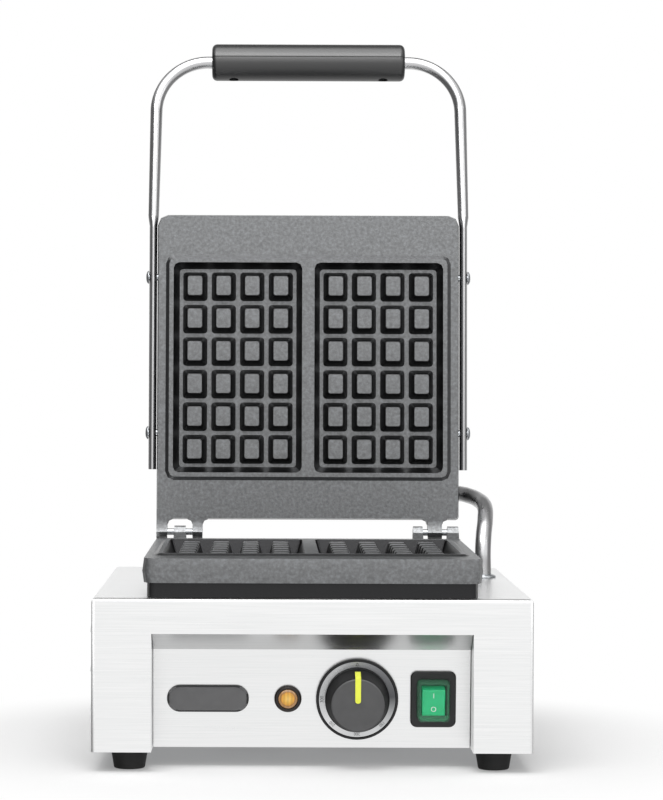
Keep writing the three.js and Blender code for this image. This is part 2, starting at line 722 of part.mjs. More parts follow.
// The coloured insert runs from near the knob's centre across its crown and down its upper side.
function pointerBody(clearance, extra) {
  const from = fit + dial.thickness + knob.standOff;
  const top = from + knob.height;
  const sink = knob.wall / 2;
  const half = pointer.width / 2 + clearance;
  const proud = pointer.proud + extra;
  const face = [
    [-top + sink + clearance, pointer.inner - clearance],
    [-top + sink + clearance, knob.crown - sink - clearance],
    [-from - knob.skirt + clearance, knob.base - sink - clearance],
    [-from - knob.skirt + clearance, knob.base + proud],
    [-top + knob.crownDrop - proud, knob.cap + proud],
    [-top - proud, knob.crown],
    [-top - proud, pointer.inner - clearance],
  ];
  return sideProfile(face, -half, half);
}

function switchHousing() {
  const { width, height, thickness, corner } = switchFrame;
  const outline = roundedOutline(width, height, corner);
  const frame = solid(prism(outline, fit, fit + thickness).rotateX(Math.PI / 2));
  const start = housing.sheet + fit;
  const body = block(
    -switchBody.width / 2, switchBody.width / 2, -thickness / 2, start + switchBody.depth,
    -switchBody.height / 2, switchBody.height / 2,
  );
  const blades = [];
  for (const x of [-1, 1]) {
    for (const z of [-1, 1]) {
      const centreX = x * switchBody.width / 4;
      const centreZ = z * switchBody.height / 4;
      blades.push(block(
        centreX - switchBody.blade / 2, centreX + switchBody.blade / 2,
        start + switchBody.depth - overrun, start + switchBody.depth + switchBody.bladeReach,
        centreZ - switchBody.bladeThick / 2, centreZ + switchBody.bladeThick / 2,
      ));
    }
  }
  const well = block(
    -rocker.width / 2 - fit, rocker.width / 2 + fit, -fit - thickness - overrun,
    rocker.pivotDepth + rocker.radius + fit, -rocker.height / 2 - 3 * fit, rocker.height / 2 + 3 * fit,
  );
  const seats = bore(
    rocker.trunnion + fit, -rocker.width / 2 - rocker.trunnionLength - 2 * fit,
    rocker.width / 2 + rocker.trunnionLength + 2 * fit, 'right', [0, rocker.pivotDepth, 0],
  );
  const seat = roundedOutline(bootCover.width + 2 * fit, bootCover.height + 2 * fit, bootCover.corner);
  const groove = solid(prism(seat, thickness / 2, thickness + overrun).rotateX(Math.PI / 2));
  return cut(join(frame, body, ...blades), groove, well, seats).translate([switchX, 0, 0]);
}

function bootBody() {
  const { width, height, proud, wall, corner, draft } = bootCover;
  const start = switchFrame.thickness / 2 + fit;
  const outline = (inset, radius) => roundedOutline(width - 2 * inset, height - 2 * inset, radius);
  const shell = stack([
    [outline(0, corner), start], [outline(draft, corner), proud - wall],
    [outline(draft + wall, corner - wall), proud],
  ]);
  const hollow = stack([
    [outline(wall, corner - wall), start - overrun], [outline(wall + draft, corner - wall), proud - wall],
  ]);
  const whole = cut(solid(shell), solid(hollow));
  return whole.rotate([90, 0, 0]).translate([switchX, 0, 0]);
}

// The rocker's two faces meet in a shallow ridge, and it tips about its trunnions.
function rockerBody() {
  const { width, height, pivotDepth, ridge: peak, tilt, radius, trunnion, trunnionLength } = rocker;
  const half = height / 2;
  const rise = half * Math.tan(tilt * degrees);
  const backPoints = [];
  for (let i = 0; i <= 2 * cornerSteps; i++) {
    const angle = Math.PI * i / (2 * cornerSteps);
    backPoints.push([radius * Math.sin(angle) * (1 - fit / radius), half * Math.cos(angle)]);
  }
  const outline = [[-peak, 0], [-peak - rise, half], ...backPoints, [-peak - rise, -half]];
  const wedge = outline.map(([y, z]) => [y + pivotDepth, z]);
  const tipped = sideProfile(wedge, -width / 2, width / 2)
    .translate([0, -pivotDepth, 0]).rotate([tilt, 0, 0]).translate([0, pivotDepth, 0]);
  const reach = width / 2 + trunnionLength;
  const ends = bore(trunnion, -reach, reach, 'right', [0, pivotDepth, 0]);
  return join(tipped, ends).translate([switchX, 0, 0]);
}

// Cast plates. Both come from one pattern, drawn with the rim at z = 0, the pocket side up,
// the hinge's axis along X at y = 0 and the free edge towards -Y.

function plateOutline(inset, radius, hingeRadius = radius) {
  const [width, length] = [plateWidth - 2 * inset, plateLength - 2 * inset];
  const outline = roundedOutline(width, length, radius, cornerSteps, hingeRadius);
  const y = -hinge.edgeGap - plateLength / 2;
  return outline.map((p) => new THREE.Vector2(p.x, p.y + y));
}

// One tapered peg of a pocket's grid, rooted a little below the pocket's floor.
function peg(x, y) {
  const { width, length, topInset, height } = pegs;
  const sunk = overrun * topInset / height;
  const ring = (inset) => roundedOutline(width - 2 * inset, length - 2 * inset, 0, 0);
  return solid(stack([
    [ring(-sunk), -pocket.depth - overrun], [ring(topInset), height - pocket.depth],
  ]).translate(x, y, 0));
}

function plateCasting() {
  const { body, draft, partLine, skirtInset, skirtWall, rimHeight, corner, hingeCorner } = plate;
  const slab = solid(stack([
    [plateOutline(draft, corner, hingeCorner), -body],
    [plateOutline(0, corner, hingeCorner), -partLine],
    [plateOutline(draft, corner, hingeCorner), 0],
  ]));
  const skirtOutline = plateOutline(skirtInset, corner - overrun);
  const skirt = solid(stack([[skirtOutline, -rimHeight], [skirtOutline, -body + overrun]]));
  const hollowOutline = plateOutline(skirtInset + skirtWall, corner / 2);
  const hollow = solid(stack([[hollowOutline, -rimHeight - overrun], [hollowOutline, -body]]));
  const frameX = pocket.divider + 2 * mouthX + 2 * ridge.flat;
  const frameY = mouthY + 2 * ridge.flat;
  const frame = solid(stack([
    [roundedOutline(frameX + 2 * ridge.slope, frameY + 2 * ridge.slope, ridge.corner), -overrun],
    [roundedOutline(frameX + 2 * ridge.slope, frameY + 2 * ridge.slope, ridge.corner), 0],
    [roundedOutline(frameX, frameY, ridge.corner - ridge.slope), ridge.height],
  ]).translate(0, pocketY, 0));
  const pockets = [-1, 1].map((side) => solid(stack([
    [roundedOutline(floorX, floorY, pocket.corner / 2), -pocket.depth],
    [roundedOutline(mouthX, mouthY, pocket.corner), ridge.height],
    [roundedOutline(mouthX, mouthY, pocket.corner), ridge.height + overrun],
  ]).translate(side * pocketX, pocketY, 0)));
  const field = [];
  for (const side of [-1, 1]) {
    for (let column = 0; column < pegs.columns; column++) {
      for (let row = 0; row < pegs.rows; row++) {
        const x = side * pocketX + (column - (pegs.columns - 1) / 2) * (pegs.width + pegs.gapX);
        const y = pocketY + (row - (pegs.rows - 1) / 2) * (pegs.length + pegs.gapY);
        field.push(peg(x, y));
      }
    }
  }
  const pins = (places, radius, from, to) => places.map(([x, y]) => (
    bore(radius, from, to, 'up', [x, y, 0], smallSides)
  ));
  const clampSeat = -body - 2 * heater.radius;
  const posts = pins(cornerPlaces(), plate.bossRadius, -rimHeight, -body + overrun);
  const taps = pins(
    cornerPlaces(), plateBolt.shank + fit, -rimHeight - overrun, -rimHeight + plateBolt.reach + fit,
  );
  const clampPosts = pins(clampPlaces(), clamp.stud + 2 * overrun, clampSeat, -body + overrun);
  const clampTaps = pins(clampPlaces(), clamp.stud + fit, clampSeat - overrun, -body - fit);
  const shell = cut(join(slab, skirt, frame), hollow, ...pockets);
  return cut(join(shell, ...field, ...posts, ...clampPosts), ...taps, ...clampTaps);
}

// Corner posts under a plate, in the plate's own axes.
function cornerPlaces() {
  const inset = plate.skirtInset + plate.skirtWall + plate.bossRadius / 2;
  const x = plateWidth / 2 - inset;
  const near = inset - hingeY;
  const far = -hinge.edgeGap - inset;
  return [[-x, near], [x, near], [-x, far], [x, far]];
}

function clampPlaces() {
  return [[-clamp.studSpacing / 2, -clamp.fromHinge], [clamp.studSpacing / 2, -clamp.fromHinge]];
}

function boltPlaces() {
  return cornerPlaces().map(([x, y]) => [x, y + hingeY]);
}

// The closed lid lies face down on the lower plate: half a turn about Y, then raised to its rim.
function towardsLid(body) {
  return body.rotate([0, 180, 0]).rotate([-90, 0, 0]);
}

// Round the end of a hinge tab about the axis, in (y, z), and run its two edges to given points.
function tabOutline(radius, first, last, from, to) {
  const points = [];
  for (let i = 0; i <= 2 * cornerSteps; i++) {
    const angle = (from + (to - from) * i / (2 * cornerSteps)) * degrees;
    points.push([radius * Math.cos(angle), radius * Math.sin(angle)]);
  }
  return [...first, ...points, ...last];
}

function lugBody({ from, to }) {
  const rim = rimZ - axisZ;
  const edge = -hinge.edgeGap;
  const deep = rim - plate.body + plate.draft;
  const outline = tabOutline(
    hinge.lug,
    [[edge - plate.corner, deep], [edge, deep]],
    [[-hinge.lug, rim], [edge - plate.corner, rim]],
    -40, 180,
  );
  const taper = (to - from) * hinge.taperShare;
  const straight = sideProfile(outline, from, to);
  const wedge = frontProfile([
    [from - overrun, deep - overrun], [to + overrun, deep - overrun], [to, rim],
    [to - taper, 2 * hinge.lug], [from + taper, 2 * hinge.lug], [from, rim],
  ], edge - 2 * plate.corner, 2 * hinge.lug);
  return straight.intersect(wedge);
}

function earBody({ from, to }) {
  const root = hinge.edgeGap + plate.corner;
  const rear = plate.body - hinge.faceOffset - plate.draft;
  const front = [[-hinge.faceOffset, root], [-hinge.faceOffset, hinge.edgeGap]];
  const outline = tabOutline(hinge.ear, front, [[rear, hinge.edgeGap], [rear, root]], 180, 360);
  return sideProfile(outline, from, to);
}

// A concave fillet along each side of an ear, where it meets the plate's edge.
function earFillets({ from, to }) {
  const z = hinge.edgeGap;
  const rear = plate.body - hinge.faceOffset - plate.draft;
  const outline = (x, side) => {
    const points = [[x - side * fit, z + overrun], [x - side * fit, z - hinge.root]];
    for (let i = 0; i <= cornerSteps; i++) {
      const angle = i / cornerSteps * Math.PI / 2;
      points.push([x + side * hinge.root * (1 - Math.cos(angle)), z - hinge.root * (1 - Math.sin(angle))]);
    }
    return [...points, [x + side * hinge.root, z + overrun]];
  };
  const edge = plateWidth / 2 - plate.corner / 2;
  return [[from, -1], [to, 1]]
    .filter(([x]) => Math.abs(x) < edge)
    .map(([x, side]) => frontProfile(outline(x, side), fit - hinge.faceOffset, rear - fit));
}

function hingeBore(radius, set) {
  const ends = set.flatMap(({ from, to }) => [from, to]);
  return bore(radius, Math.min(...ends) - overrun, Math.max(...ends) + overrun, 'right', [0, 0, 0]);
}

function lowerPlate() {
  const casting = plateCasting().translate([0, 0, rimZ - axisZ]);
  const lugs = [...leftLugs, ...rightLugs];
  return cut(join(casting, ...lugs.map(lugBody)), hingeBore(hinge.pin + fit, lugs))
    .translate([0, hingeY, axisZ]);
}

function upperPlate() {
  const ears = [...leftEars, ...rightEars];
  const casting = towardsLid(plateCasting()).translate([0, -hinge.faceOffset, 0]);
  return cut(
    join(casting, ...ears.map(earBody), ...ears.flatMap(earFillets)),
    hingeBore(hinge.pin + fit, ears),
    ...[-1, 1].flatMap((side) => sideBoltPlaces(side).map((place) => (
      bore(sideBolt.shank + fit, -sideBolt.reach - fit, overrun, outwards(side), place)
    ))),
  );
}

function hingePin(set) {
  const ends = set.flatMap(({ from, to }) => [from, to]);
  const [low, high] = [Math.min(...ends) + fit, Math.max(...ends) - fit];
  return bore(hinge.pin, low, high, 'right', [0, hingeY, axisZ]);
}

// Heaters, in the pattern's axes: a bent tubular element under the plate's floor

function heaterBody() {
  const z = -plate.body - fit - heater.radius;
  const { innerReach, legBack, leg, radius, bend } = heater;
  const rear = hinge.edgeGap + heater.fromHingeEdge;
  const front = hingeY - heater.fromFreeEdge;
  const points = [
    [-innerReach, -legBack, z - leg], [-innerReach, -legBack, z], [-innerReach, -front, z],
    [-outerReach, -front, z], [-outerReach, -rear, z], [outerReach, -rear, z],
    [outerReach, -front, z], [innerReach, -front, z], [innerReach, -legBack, z],
    [innerReach, -legBack, z - leg],
  ];
  const ends = points.length - 3;
  const radii = points.slice(2).map((_, i) => (i === 0 || i === ends ? 1.5 * radius : bend));
  const path = bentPath(points, radii);
  return solid(skin(sweep(path, smallSides, () => [radius, radius], [1, 0, 0], cornerSteps)));
}

function clampBar() {
  const z1 = -plate.body - 2 * heater.radius - 2 * fit;
  const z0 = z1 - clamp.thickness;
  const outline = roundedOutline(2 * outerReach, clamp.width, clamp.width / 4);
  const strip = solid(prism(outline, z0, z1).translate(0, -clamp.fromHinge, 0));
  const studs = clampPlaces().flatMap(([x, y]) => [
    bore(clamp.stud, z0 - fit, -plate.body - overrun, 'up', [x, y, 0]),
    turned(pinProfile(clamp.head, z0 - clamp.headHeight, z0 + fit), 'up', [x, y, 0], 6),
  ]);
  return join(strip, ...studs);
}

// The hole in the housing's top, under the lower plate.
function throatSpan() {
  const halfWidth = plateWidth / 2 - throat.fromSide;
  return { halfWidth, front: throat.fromFreeEdge, rear: hingeY - throat.fromHinge };
}

function heatShield() {
  const { flange, sheet, drop } = shield;
  const { halfWidth, front, rear } = throatSpan();
  const z0 = topZ + fit;
  const middleY = (front + rear) / 2;
  const outline = (inset) => roundedOutline(2 * (halfWidth - inset), rear - front - 2 * inset, flange);
  const rim = prism(outline(-flange), z0, z0 + sheet);
  const tray = stack([[outline(sheet), z0 - drop], [outline(sheet), z0 + sheet]]);
  const pan = outline(2 * sheet);
  const hollow = stack([[pan, z0 - drop + sheet], [pan, z0 + sheet + overrun]]);
  const holes = [-1, 1].map((side) => bore(
    heater.radius + sheet, -drop - overrun, overrun, 'up',
    [side * heater.innerReach, hingeY - heater.legBack, z0],
  ));
  const [bulbX, bulbY] = capillaryRoute()[3];
  return cut(
    join(solid(rim.translate(0, middleY, 0)), solid(tray.translate(0, middleY, 0))),
    solid(hollow.translate(0, middleY, 0)),
    ...holes,
    bore(bulb.tube + sheet, -drop - overrun, overrun, 'up', [bulbX, bulbY, z0]),
  );
}

// From the thermostat's back, up through the heat shield and along the lower plate's floor.
function capillaryRoute() {
  const behind = housing.sheet + thermostat.depth + 2 * fit;
  const outlet = [behind, behind + 4 * bulb.tube].map((y) => (
    new THREE.Vector3(dialX + thermostat.width / 4, y, thermostat.height / 4)
      .applyMatrix4(controls.matrix).toArray()
  ));
  const bulbZ = rimZ - plate.body - fit - bulb.radius;
  const holeY = bulb.start - 6 * bulb.radius;
  return [
    ...outlet,
    [bulb.centre, holeY, topZ - 2 * shield.drop],
    [bulb.centre, holeY, topZ],
    [bulb.centre, bulb.start - 2 * bulb.radius, bulbZ],
    [bulb.centre, bulb.start + bulb.radius, bulbZ],
  ];
}

function capillaryBody() {
  const bulbZ = rimZ - plate.body - fit - bulb.radius;
  const line = solid(tube(capillaryRoute(), bulb.tube, smallSides, 2 * smallSides));
  const probe = bore(bulb.radius, 0, bulb.length, 'rear', [bulb.centre, bulb.start, bulbZ]);
  return join(line, probe);
}

function plateBoltBody(x, y) {
  const z = topZ - housing.sheet - fit;
  const head = turned(pinProfile(plateBolt.head, -plateBolt.headHeight, 0), 'up', [x, y, z], 6);
  const reach = housing.sheet + 2 * fit + plateBolt.reach - overrun;
  return join(head, bore(plateBolt.shank, -fit, reach, 'up', [x, y, z]));
}

// Lid furniture, on the lid's own axes: the hinge's axis along X at the origin, Z up the lid,
// the pocket face towards -Y

const lidBackY = plate.rimHeight - hinge.faceOffset + fit;
const lidMiddleZ = hinge.edgeGap + plateLength / 2;

function hatLevel(sideInset, endInset, radius, depth) {
  const width = plateWidth - 2 * (plate.skirtInset + sideInset);
  const length = plateLength - 2 * (plate.skirtInset + endInset);
  return [roundedOutline(width, length, radius), -depth];
}

function lidBackCover() {
  const { sideFlange, endFlange, height, sheet, corner, slope, edge } = back;
  const box = (inset, radius, depth) => hatLevel(sideFlange + inset, endFlange + inset, radius, depth);
  const outer = stack([
    box(slope + edge, corner, height), box(slope, corner, height - edge), box(0, corner, sheet),
    hatLevel(0, 0, plate.corner - overrun, sheet), hatLevel(0, 0, plate.corner - overrun, 0),
  ]);
  const inner = stack([
    box(slope + edge, corner - sheet, height - sheet), box(slope + sheet, corner - sheet, height - edge),
    box(sheet, corner - sheet, 0), box(sheet, corner - sheet, -overrun),
  ]);
  const hat = cut(solid(outer), solid(inner)).rotate([90, 0, 0]).translate([0, lidBackY, lidMiddleZ]);
  const holes = lidScrewPlaces().map(([x, z]) => (
    bore(backScrew.shank + fit, -overrun, sheet + overrun, 'rear', [x, lidBackY, z])
  ));
  const wirePlace = [nippleX(), nipple.depth, nipple.height];
  const wireHole = bore(nipple.wires, -2 * slope - 2 * sheet, overrun, 'right', wirePlace);
  return cut(hat, ...holes, wireHole);
}

function lidScrewPlaces() {
  return cornerPlaces().map(([x, y]) => [x, -y]);
}

function lidScrew([x, z]) {
  const { head, headHeight, shank, reach } = backScrew;
  const seat = back.sheet + fit;
  const dome = domeProfile(head, headHeight, seat);
  const profile = [[0, seat - reach], [shank, seat - reach], [shank, seat], ...dome];
  return turned(profile, 'rear', [x, lidBackY, z], smallSides);
}

// A low dome from its rim to the axis.
function domeProfile(radius, height, from) {
  const points = [];
  for (let i = 0; i <= cornerSteps; i++) {
    const angle = i / cornerSteps * Math.PI / 2;
    points.push([i === cornerSteps ? 0 : radius * Math.cos(angle), from + height * Math.sin(angle)]);
  }
  return points;
}

// Where the fitting's flange meets the cover's sloping side.
function nippleX() {
  const { sideFlange, height, slope, sheet } = back;
  const share = (nipple.depth - nipple.radius - lidBackY - sheet) / (height - sheet);
  return plateWidth / 2 - plate.skirtInset - sideFlange - slope * share + fit;
}

function conduitNipple() {
  const { radius, length, sleeve, sleeveLength, seat, wires } = nipple;
  const end = length + sleeveLength;
  const socket = conduit.radius + fit;
  const profile = [
    [wires, 0], [radius, 0], [radius, length], [sleeve, length], [sleeve, end],
    [socket, end], [socket, seat], [wires, seat], [wires, 0],
  ];
  return turned(profile, 'right', [nippleX(), nipple.depth, nipple.height]);
}

// Handle: a rod bent to a U, with both legs pressed flat against the lid's edges

const legY = plate.body / 2 - hinge.faceOffset;
const legX = plateWidth / 2 + fit + rod.flatHalf;
const kneeZ = hingeY - rod.knee;
const rodTop = hingeY + rod.rise;
const gripY = legY + (rodTop - kneeZ) * Math.tan(rod.lean * degrees);

function handleRod() {
  const path = bentPath([
    [-legX, legY, rod.legStart], [-legX, legY, kneeZ], [rod.drawIn - legX, gripY, rodTop],
    [legX - rod.drawIn, gripY, rodTop], [legX, legY, kneeZ], [legX, legY, rod.legStart],
  ], [rod.kneeBend, rod.bend, rod.bend, rod.kneeBend]);
  const total = path.getLength();
  const flatRun = hingeY - rod.roundFrom - rod.legStart;
  const halfSizes = (stop) => {
    const run = Math.min(stop, total - stop);
    const roundShare = Math.min(Math.max((run - flatRun) / rod.merge, 0), 1);
    return [
      rod.flatHalf + roundShare * (rod.radius - rod.flatHalf),
      rod.flatWidth + roundShare * (rod.radius - rod.flatWidth),
    ];
  };
  const marks = [flatRun, flatRun + rod.merge, total - flatRun - rod.merge, total - flatRun];
  const rings = sweep(path, rod.sides, halfSizes, [1, 0, 0], rod.bendSteps, marks);
  const boltHoles = [-1, 1].flatMap((side) => sideBoltPlaces(side).map((place) => (
    bore(sideBolt.shank + fit, -overrun, 2 * (rod.flatHalf + overrun), outwards(side), place)
  )));
  const screwHoles = [-1, 1].map((side) => (
    bore(gripScrew.shank + fit, -grip.radius, grip.radius, 'up', [side * gripScrewX, 0, 0])
      .rotate([-rod.lean, 0, 0]).translate([0, gripY, rodTop])
  ));
  return cut(solid(skin(rings)), ...boltHoles, ...screwHoles);
}

function outwards(side) {
  return side > 0 ? 'right' : 'left';
}

function sideBoltPlaces(side) {
  return [sideBolt.low, hingeY - sideBolt.fromFreeEdge].map((z) => [side * plateWidth / 2, legY, z]);
}

function sideBoltBody(side, index) {
  const { head, headHeight, shank, reach } = sideBolt;
  const seat = 2 * rod.flatHalf + 2 * fit;
  const profile = [[0, -reach], [shank, -reach], [shank, seat], ...domeProfile(head, headHeight, seat)];
  return turned(profile, outwards(side), sideBoltPlaces(side)[index], smallSides);
}

// Grip halves and screws, on axes that follow the handle's lean: Z points away from the lid

function gripHalf(side) {
  const { radius, length, round, seam } = grip;
  const hole = rod.radius + fit;
  const half = length / 2;
  const profile = [[hole, -half], [radius - round, -half]];
  for (const end of [-1, 1]) {
    for (let i = 0; i <= cornerSteps; i++) {
      const angle = (end < 0 ? i / cornerSteps - 1 : i / cornerSteps) * Math.PI / 2;
      profile.push([
        radius - round + round * Math.cos(angle), end * (half - round) + round * Math.sin(angle),
      ]);
    }
  }
  profile.push([hole, half], [hole, -half]);
  const whole = turned(profile, 'right', [0, 0, 0]);
  const [z0, z1] = side > 0 ? [seam / 2, radius + overrun] : [-radius - overrun, -seam / 2];
  const part = whole.intersect(block(-length, length, -radius - overrun, radius + overrun, z0, z1));
  const tools = [-1, 1].flatMap((end) => {
    const place = [end * gripScrewX, 0, 0];
    const seat = gripScrew.depth - radius;
    return [
      bore(gripScrew.shank + fit, -radius - overrun, radius - gripScrew.depth, 'up', place),
      bore(gripScrew.head + fit, -radius - overrun, seat, 'up', place),
    ];
  });
  return cut(part, ...tools);
}

function gripScrewBody(end) {
  const { head, headHeight, shank, depth } = gripScrew;
  const seat = depth - grip.radius - fit;
  const tip = grip.radius - depth - fit;
  const profile = [
    [0, seat - headHeight], [head / 2, seat - headHeight], [head, seat - headHeight / 2], [head, seat],
    [shank, seat], [shank, tip], [0, tip],
  ];
  return turned(profile, 'up', [end * gripScrewX, 0, 0], smallSides);
}

// Conduit: leaves the housing's top straight up and enters the lid's back from the side

const lid = new THREE.Group();
lid.position.set(0, hingeY, axisZ);
lid.rotation.x = -lidLean * degrees;
lid.updateMatrix();

function conduitRoute() {
  const seatX = nippleX() + nipple.seat + fit;
  const socket = [0, 1, 2].map((step) => (
    new THREE.Vector3(seatX + step * 2 * conduit.radius, nipple.depth, nipple.height)
      .applyMatrix4(lid.matrix).toArray()
  ));
  const rise = [
    [15.3, -42.4, -3], [15.3, -42.4, 6], [15.1, -42, 17.5], [16, -36.5, 31], [18.3, -22, 43.7],
    [19, -5.5, 52], [15.6, 11.5, 56.4], [9, 26, 59.1],
  ].map(([x, y, z]) => [plateWidth / 2 + x, hingeY + y, topZ + z]);
  return [...rise, ...socket.reverse()];
}

function conduitHose() {
  return solid(tube(conduitRoute(), conduit.radius, conduit.sides, conduit.steps));
}

function conduitCollar() {
  const [x, y] = conduitRoute()[0];
  const { radius, collar, collarHeight } = conduit;
  const inner = radius + fit;
  const profile = [
    [inner, fit], [collar, fit], [collar, collarHeight / 2], [inner + fit, collarHeight],
    [inner, collarHeight], [inner, fit],
  ];
  return turned(profile, 'up', [x, y, topZ]);
}

// Supply side: cable gland through the rear wall and the terminal block behind it

function glandBody() {
  const { hex, hexDepth, dome, domeDepth, bore: hole, thread, inside } = gland;
  const place = glandPlace;
  const nut = turned(pinProfile(hex, fit, hexDepth), 'rear', place, 6);
  const end = hexDepth + domeDepth;
  const sleeve = turned([
    [0, -inside], [thread, -inside], [thread, hexDepth / 2], [dome, hexDepth / 2],
    [dome, end - domeDepth / 3], [hole + (dome - hole) / 2, end], [0, end],
  ], 'rear', place);
  return cut(join(nut, sleeve), bore(hole, -inside - overrun, end + overrun, 'rear', place));
}

function terminalBlock() {
  const { width, depth, height, poles, screw, screwDepth, setback } = terminals;
  const z0 = floorZ + cover.sheet + fit;
  const y1 = housing.depth - setback;
  const pitch = width / poles;
  const tools = [];
  for (let i = 0; i < poles; i++) {
    const x = glandPlace[0] + (i - (poles - 1) / 2) * pitch;
    for (const row of [-1, 1]) {
      const y = y1 - depth / 2 + row * depth / 4;
      tools.push(bore(screw, -screwDepth, overrun, 'up', [x, y, z0 + height]));
    }
    tools.push(block(
      x - pitch / 2 - fit, x - pitch / 2 + fit, y1 - depth - overrun, y1 + overrun,
      z0 + height - screwDepth, z0 + height + overrun,
    ));
  }
  return cut(block(
    glandPlace[0] - width / 2, glandPlace[0] + width / 2, y1 - depth, y1, z0, z0 + height,
  ), ...tools);
}

// Assembly

const iron = new THREE.Group();
iron.position.y = -overallDepth / 2;

iron.add(
  piece('housing_shell', housingShell(), steel),
  piece('control_panel', controlPanel(), steel),
  piece('bottom_cover', bottomCover(), zincSteel),
  piece('lower_plate', lowerPlate(), castIron),
  piece('lower_heater', heaterBody().translate([0, hingeY, rimZ]), zincSteel),
  piece('lower_heater_clamp', clampBar().translate([0, hingeY, rimZ]), zincSteel),
  piece('heat_shield', heatShield(), zincSteel),
  piece('sensor_bulb', capillaryBody(), copper),
  piece('hinge_pin_left', hingePin([...leftEars, ...leftLugs]), zincSteel),
  piece('hinge_pin_right', hingePin([...rightEars, ...rightLugs]), zincSteel),
  piece('conduit', conduitHose(), polished),
  piece('conduit_collar', conduitCollar(), blackRubber),
  piece('cable_gland', glandBody(), blackPlastic),
  piece('gland_locknut', hexNut(
    gland.nut, gland.thread + fit, -housing.sheet - fit - gland.nutDepth, -housing.sheet - fit,
    'rear', glandPlace,
  ), blackPlastic),
  piece('terminal_block', terminalBlock(), ceramic),
);

for (const [name, x, y] of footPlaces()) {
  iron.add(piece(`foot_${name}`, rubberFoot(x, y), blackRubber));
  iron.add(piece(`foot_screw_${name}`, footScrewBody(x, y), zincSteel));
}
boltPlaces().forEach(([x, y], i) => {
  iron.add(piece(`plate_bolt_${i + 1}`, plateBoltBody(x, y), zincSteel));
});

controls.add(
  piece('badge_plate', badgePlate(), greyPlastic),
  piece('lamp_bezel', lampBezel(), blackPlastic),
  piece('lamp_lens', lampLens(), amberGlass),
  piece('lamp_nut', hexNut(
    lampNut.across, lamp.barrel + fit, -housing.sheet - fit - lampNut.thickness, -housing.sheet - fit,
    'front', [lampX, 0, 0],
  ), zincSteel),
  piece('dial_plate', dialPlate(), steel),
  piece('thermostat_body', thermostatBody(), ceramic),
  piece('thermostat_shaft', thermostatShaft(), zincSteel),
  piece('thermostat_screw_left', panelScrewBody(-1), zincSteel),
  piece('thermostat_screw_right', panelScrewBody(1), zincSteel),
  piece('thermostat_knob', thermostatKnob(), greyPlastic),
  piece('knob_pointer', pointerBody(0, 0).translate([dialX, 0, 0]), limePlastic),
  piece('switch_body', switchHousing(), blackPlastic),
  piece('switch_boot', bootBody(), clearRubber),
  piece('switch_rocker', rockerBody(), greenPlastic),
);
iron.add(controls);

const gripAxes = new THREE.Group();
gripAxes.position.set(0, gripY, rodTop);
gripAxes.rotation.x = -rod.lean * degrees;
gripAxes.add(
  piece('grip_outer', gripHalf(1), blackPlastic),
  piece('grip_inner', gripHalf(-1), blackPlastic),
  piece('grip_screw_left', gripScrewBody(-1), zincSteel),
  piece('grip_screw_right', gripScrewBody(1), zincSteel),
);
lid.add(
  piece('upper_plate', upperPlate(), castIron),
  piece('upper_heater', towardsLid(heaterBody()).translate([0, -hinge.faceOffset, 0]), zincSteel),
  piece('upper_heater_clamp', towardsLid(clampBar()).translate([0, -hinge.faceOffset, 0]), zincSteel),
  piece('lid_back_cover', lidBackCover(), steel),
  piece('conduit_nipple', conduitNipple(), zincSteel),
  piece('handle_rod', handleRod(), polished),
  gripAxes,
);
lidScrewPlaces().forEach((place, i) => {
  lid.add(piece(`lid_screw_${i + 1}`, lidScrew(place), zincSteel));
});
for (const [side, name] of [[-1, 'left'], [1, 'right']]) {
  lid.add(piece(`handle_bolt_${name}_lower`, sideBoltBody(side, 0), zincSteel));
  lid.add(piece(`handle_bolt_${name}_upper`, sideBoltBody(side, 1), zincSteel));
}
iron.add(lid);

export default iron;
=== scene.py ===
# %% [markdown]
# # A countertop iron for Liege waffles
# The solid model gives every piece its size and place. This script loads it, puts a camera where the
# photographer stood and lights the iron like a catalogue picture. Then it makes the finishes, and works
# through the pieces one by one. Those with round edges, fine curves or marks are modelled anew and
# stand in for their solids. The rest keep their solids and get a better finish.

# %% Load the frame
import json
import math
import bpy
from mathutils import Matrix, Vector


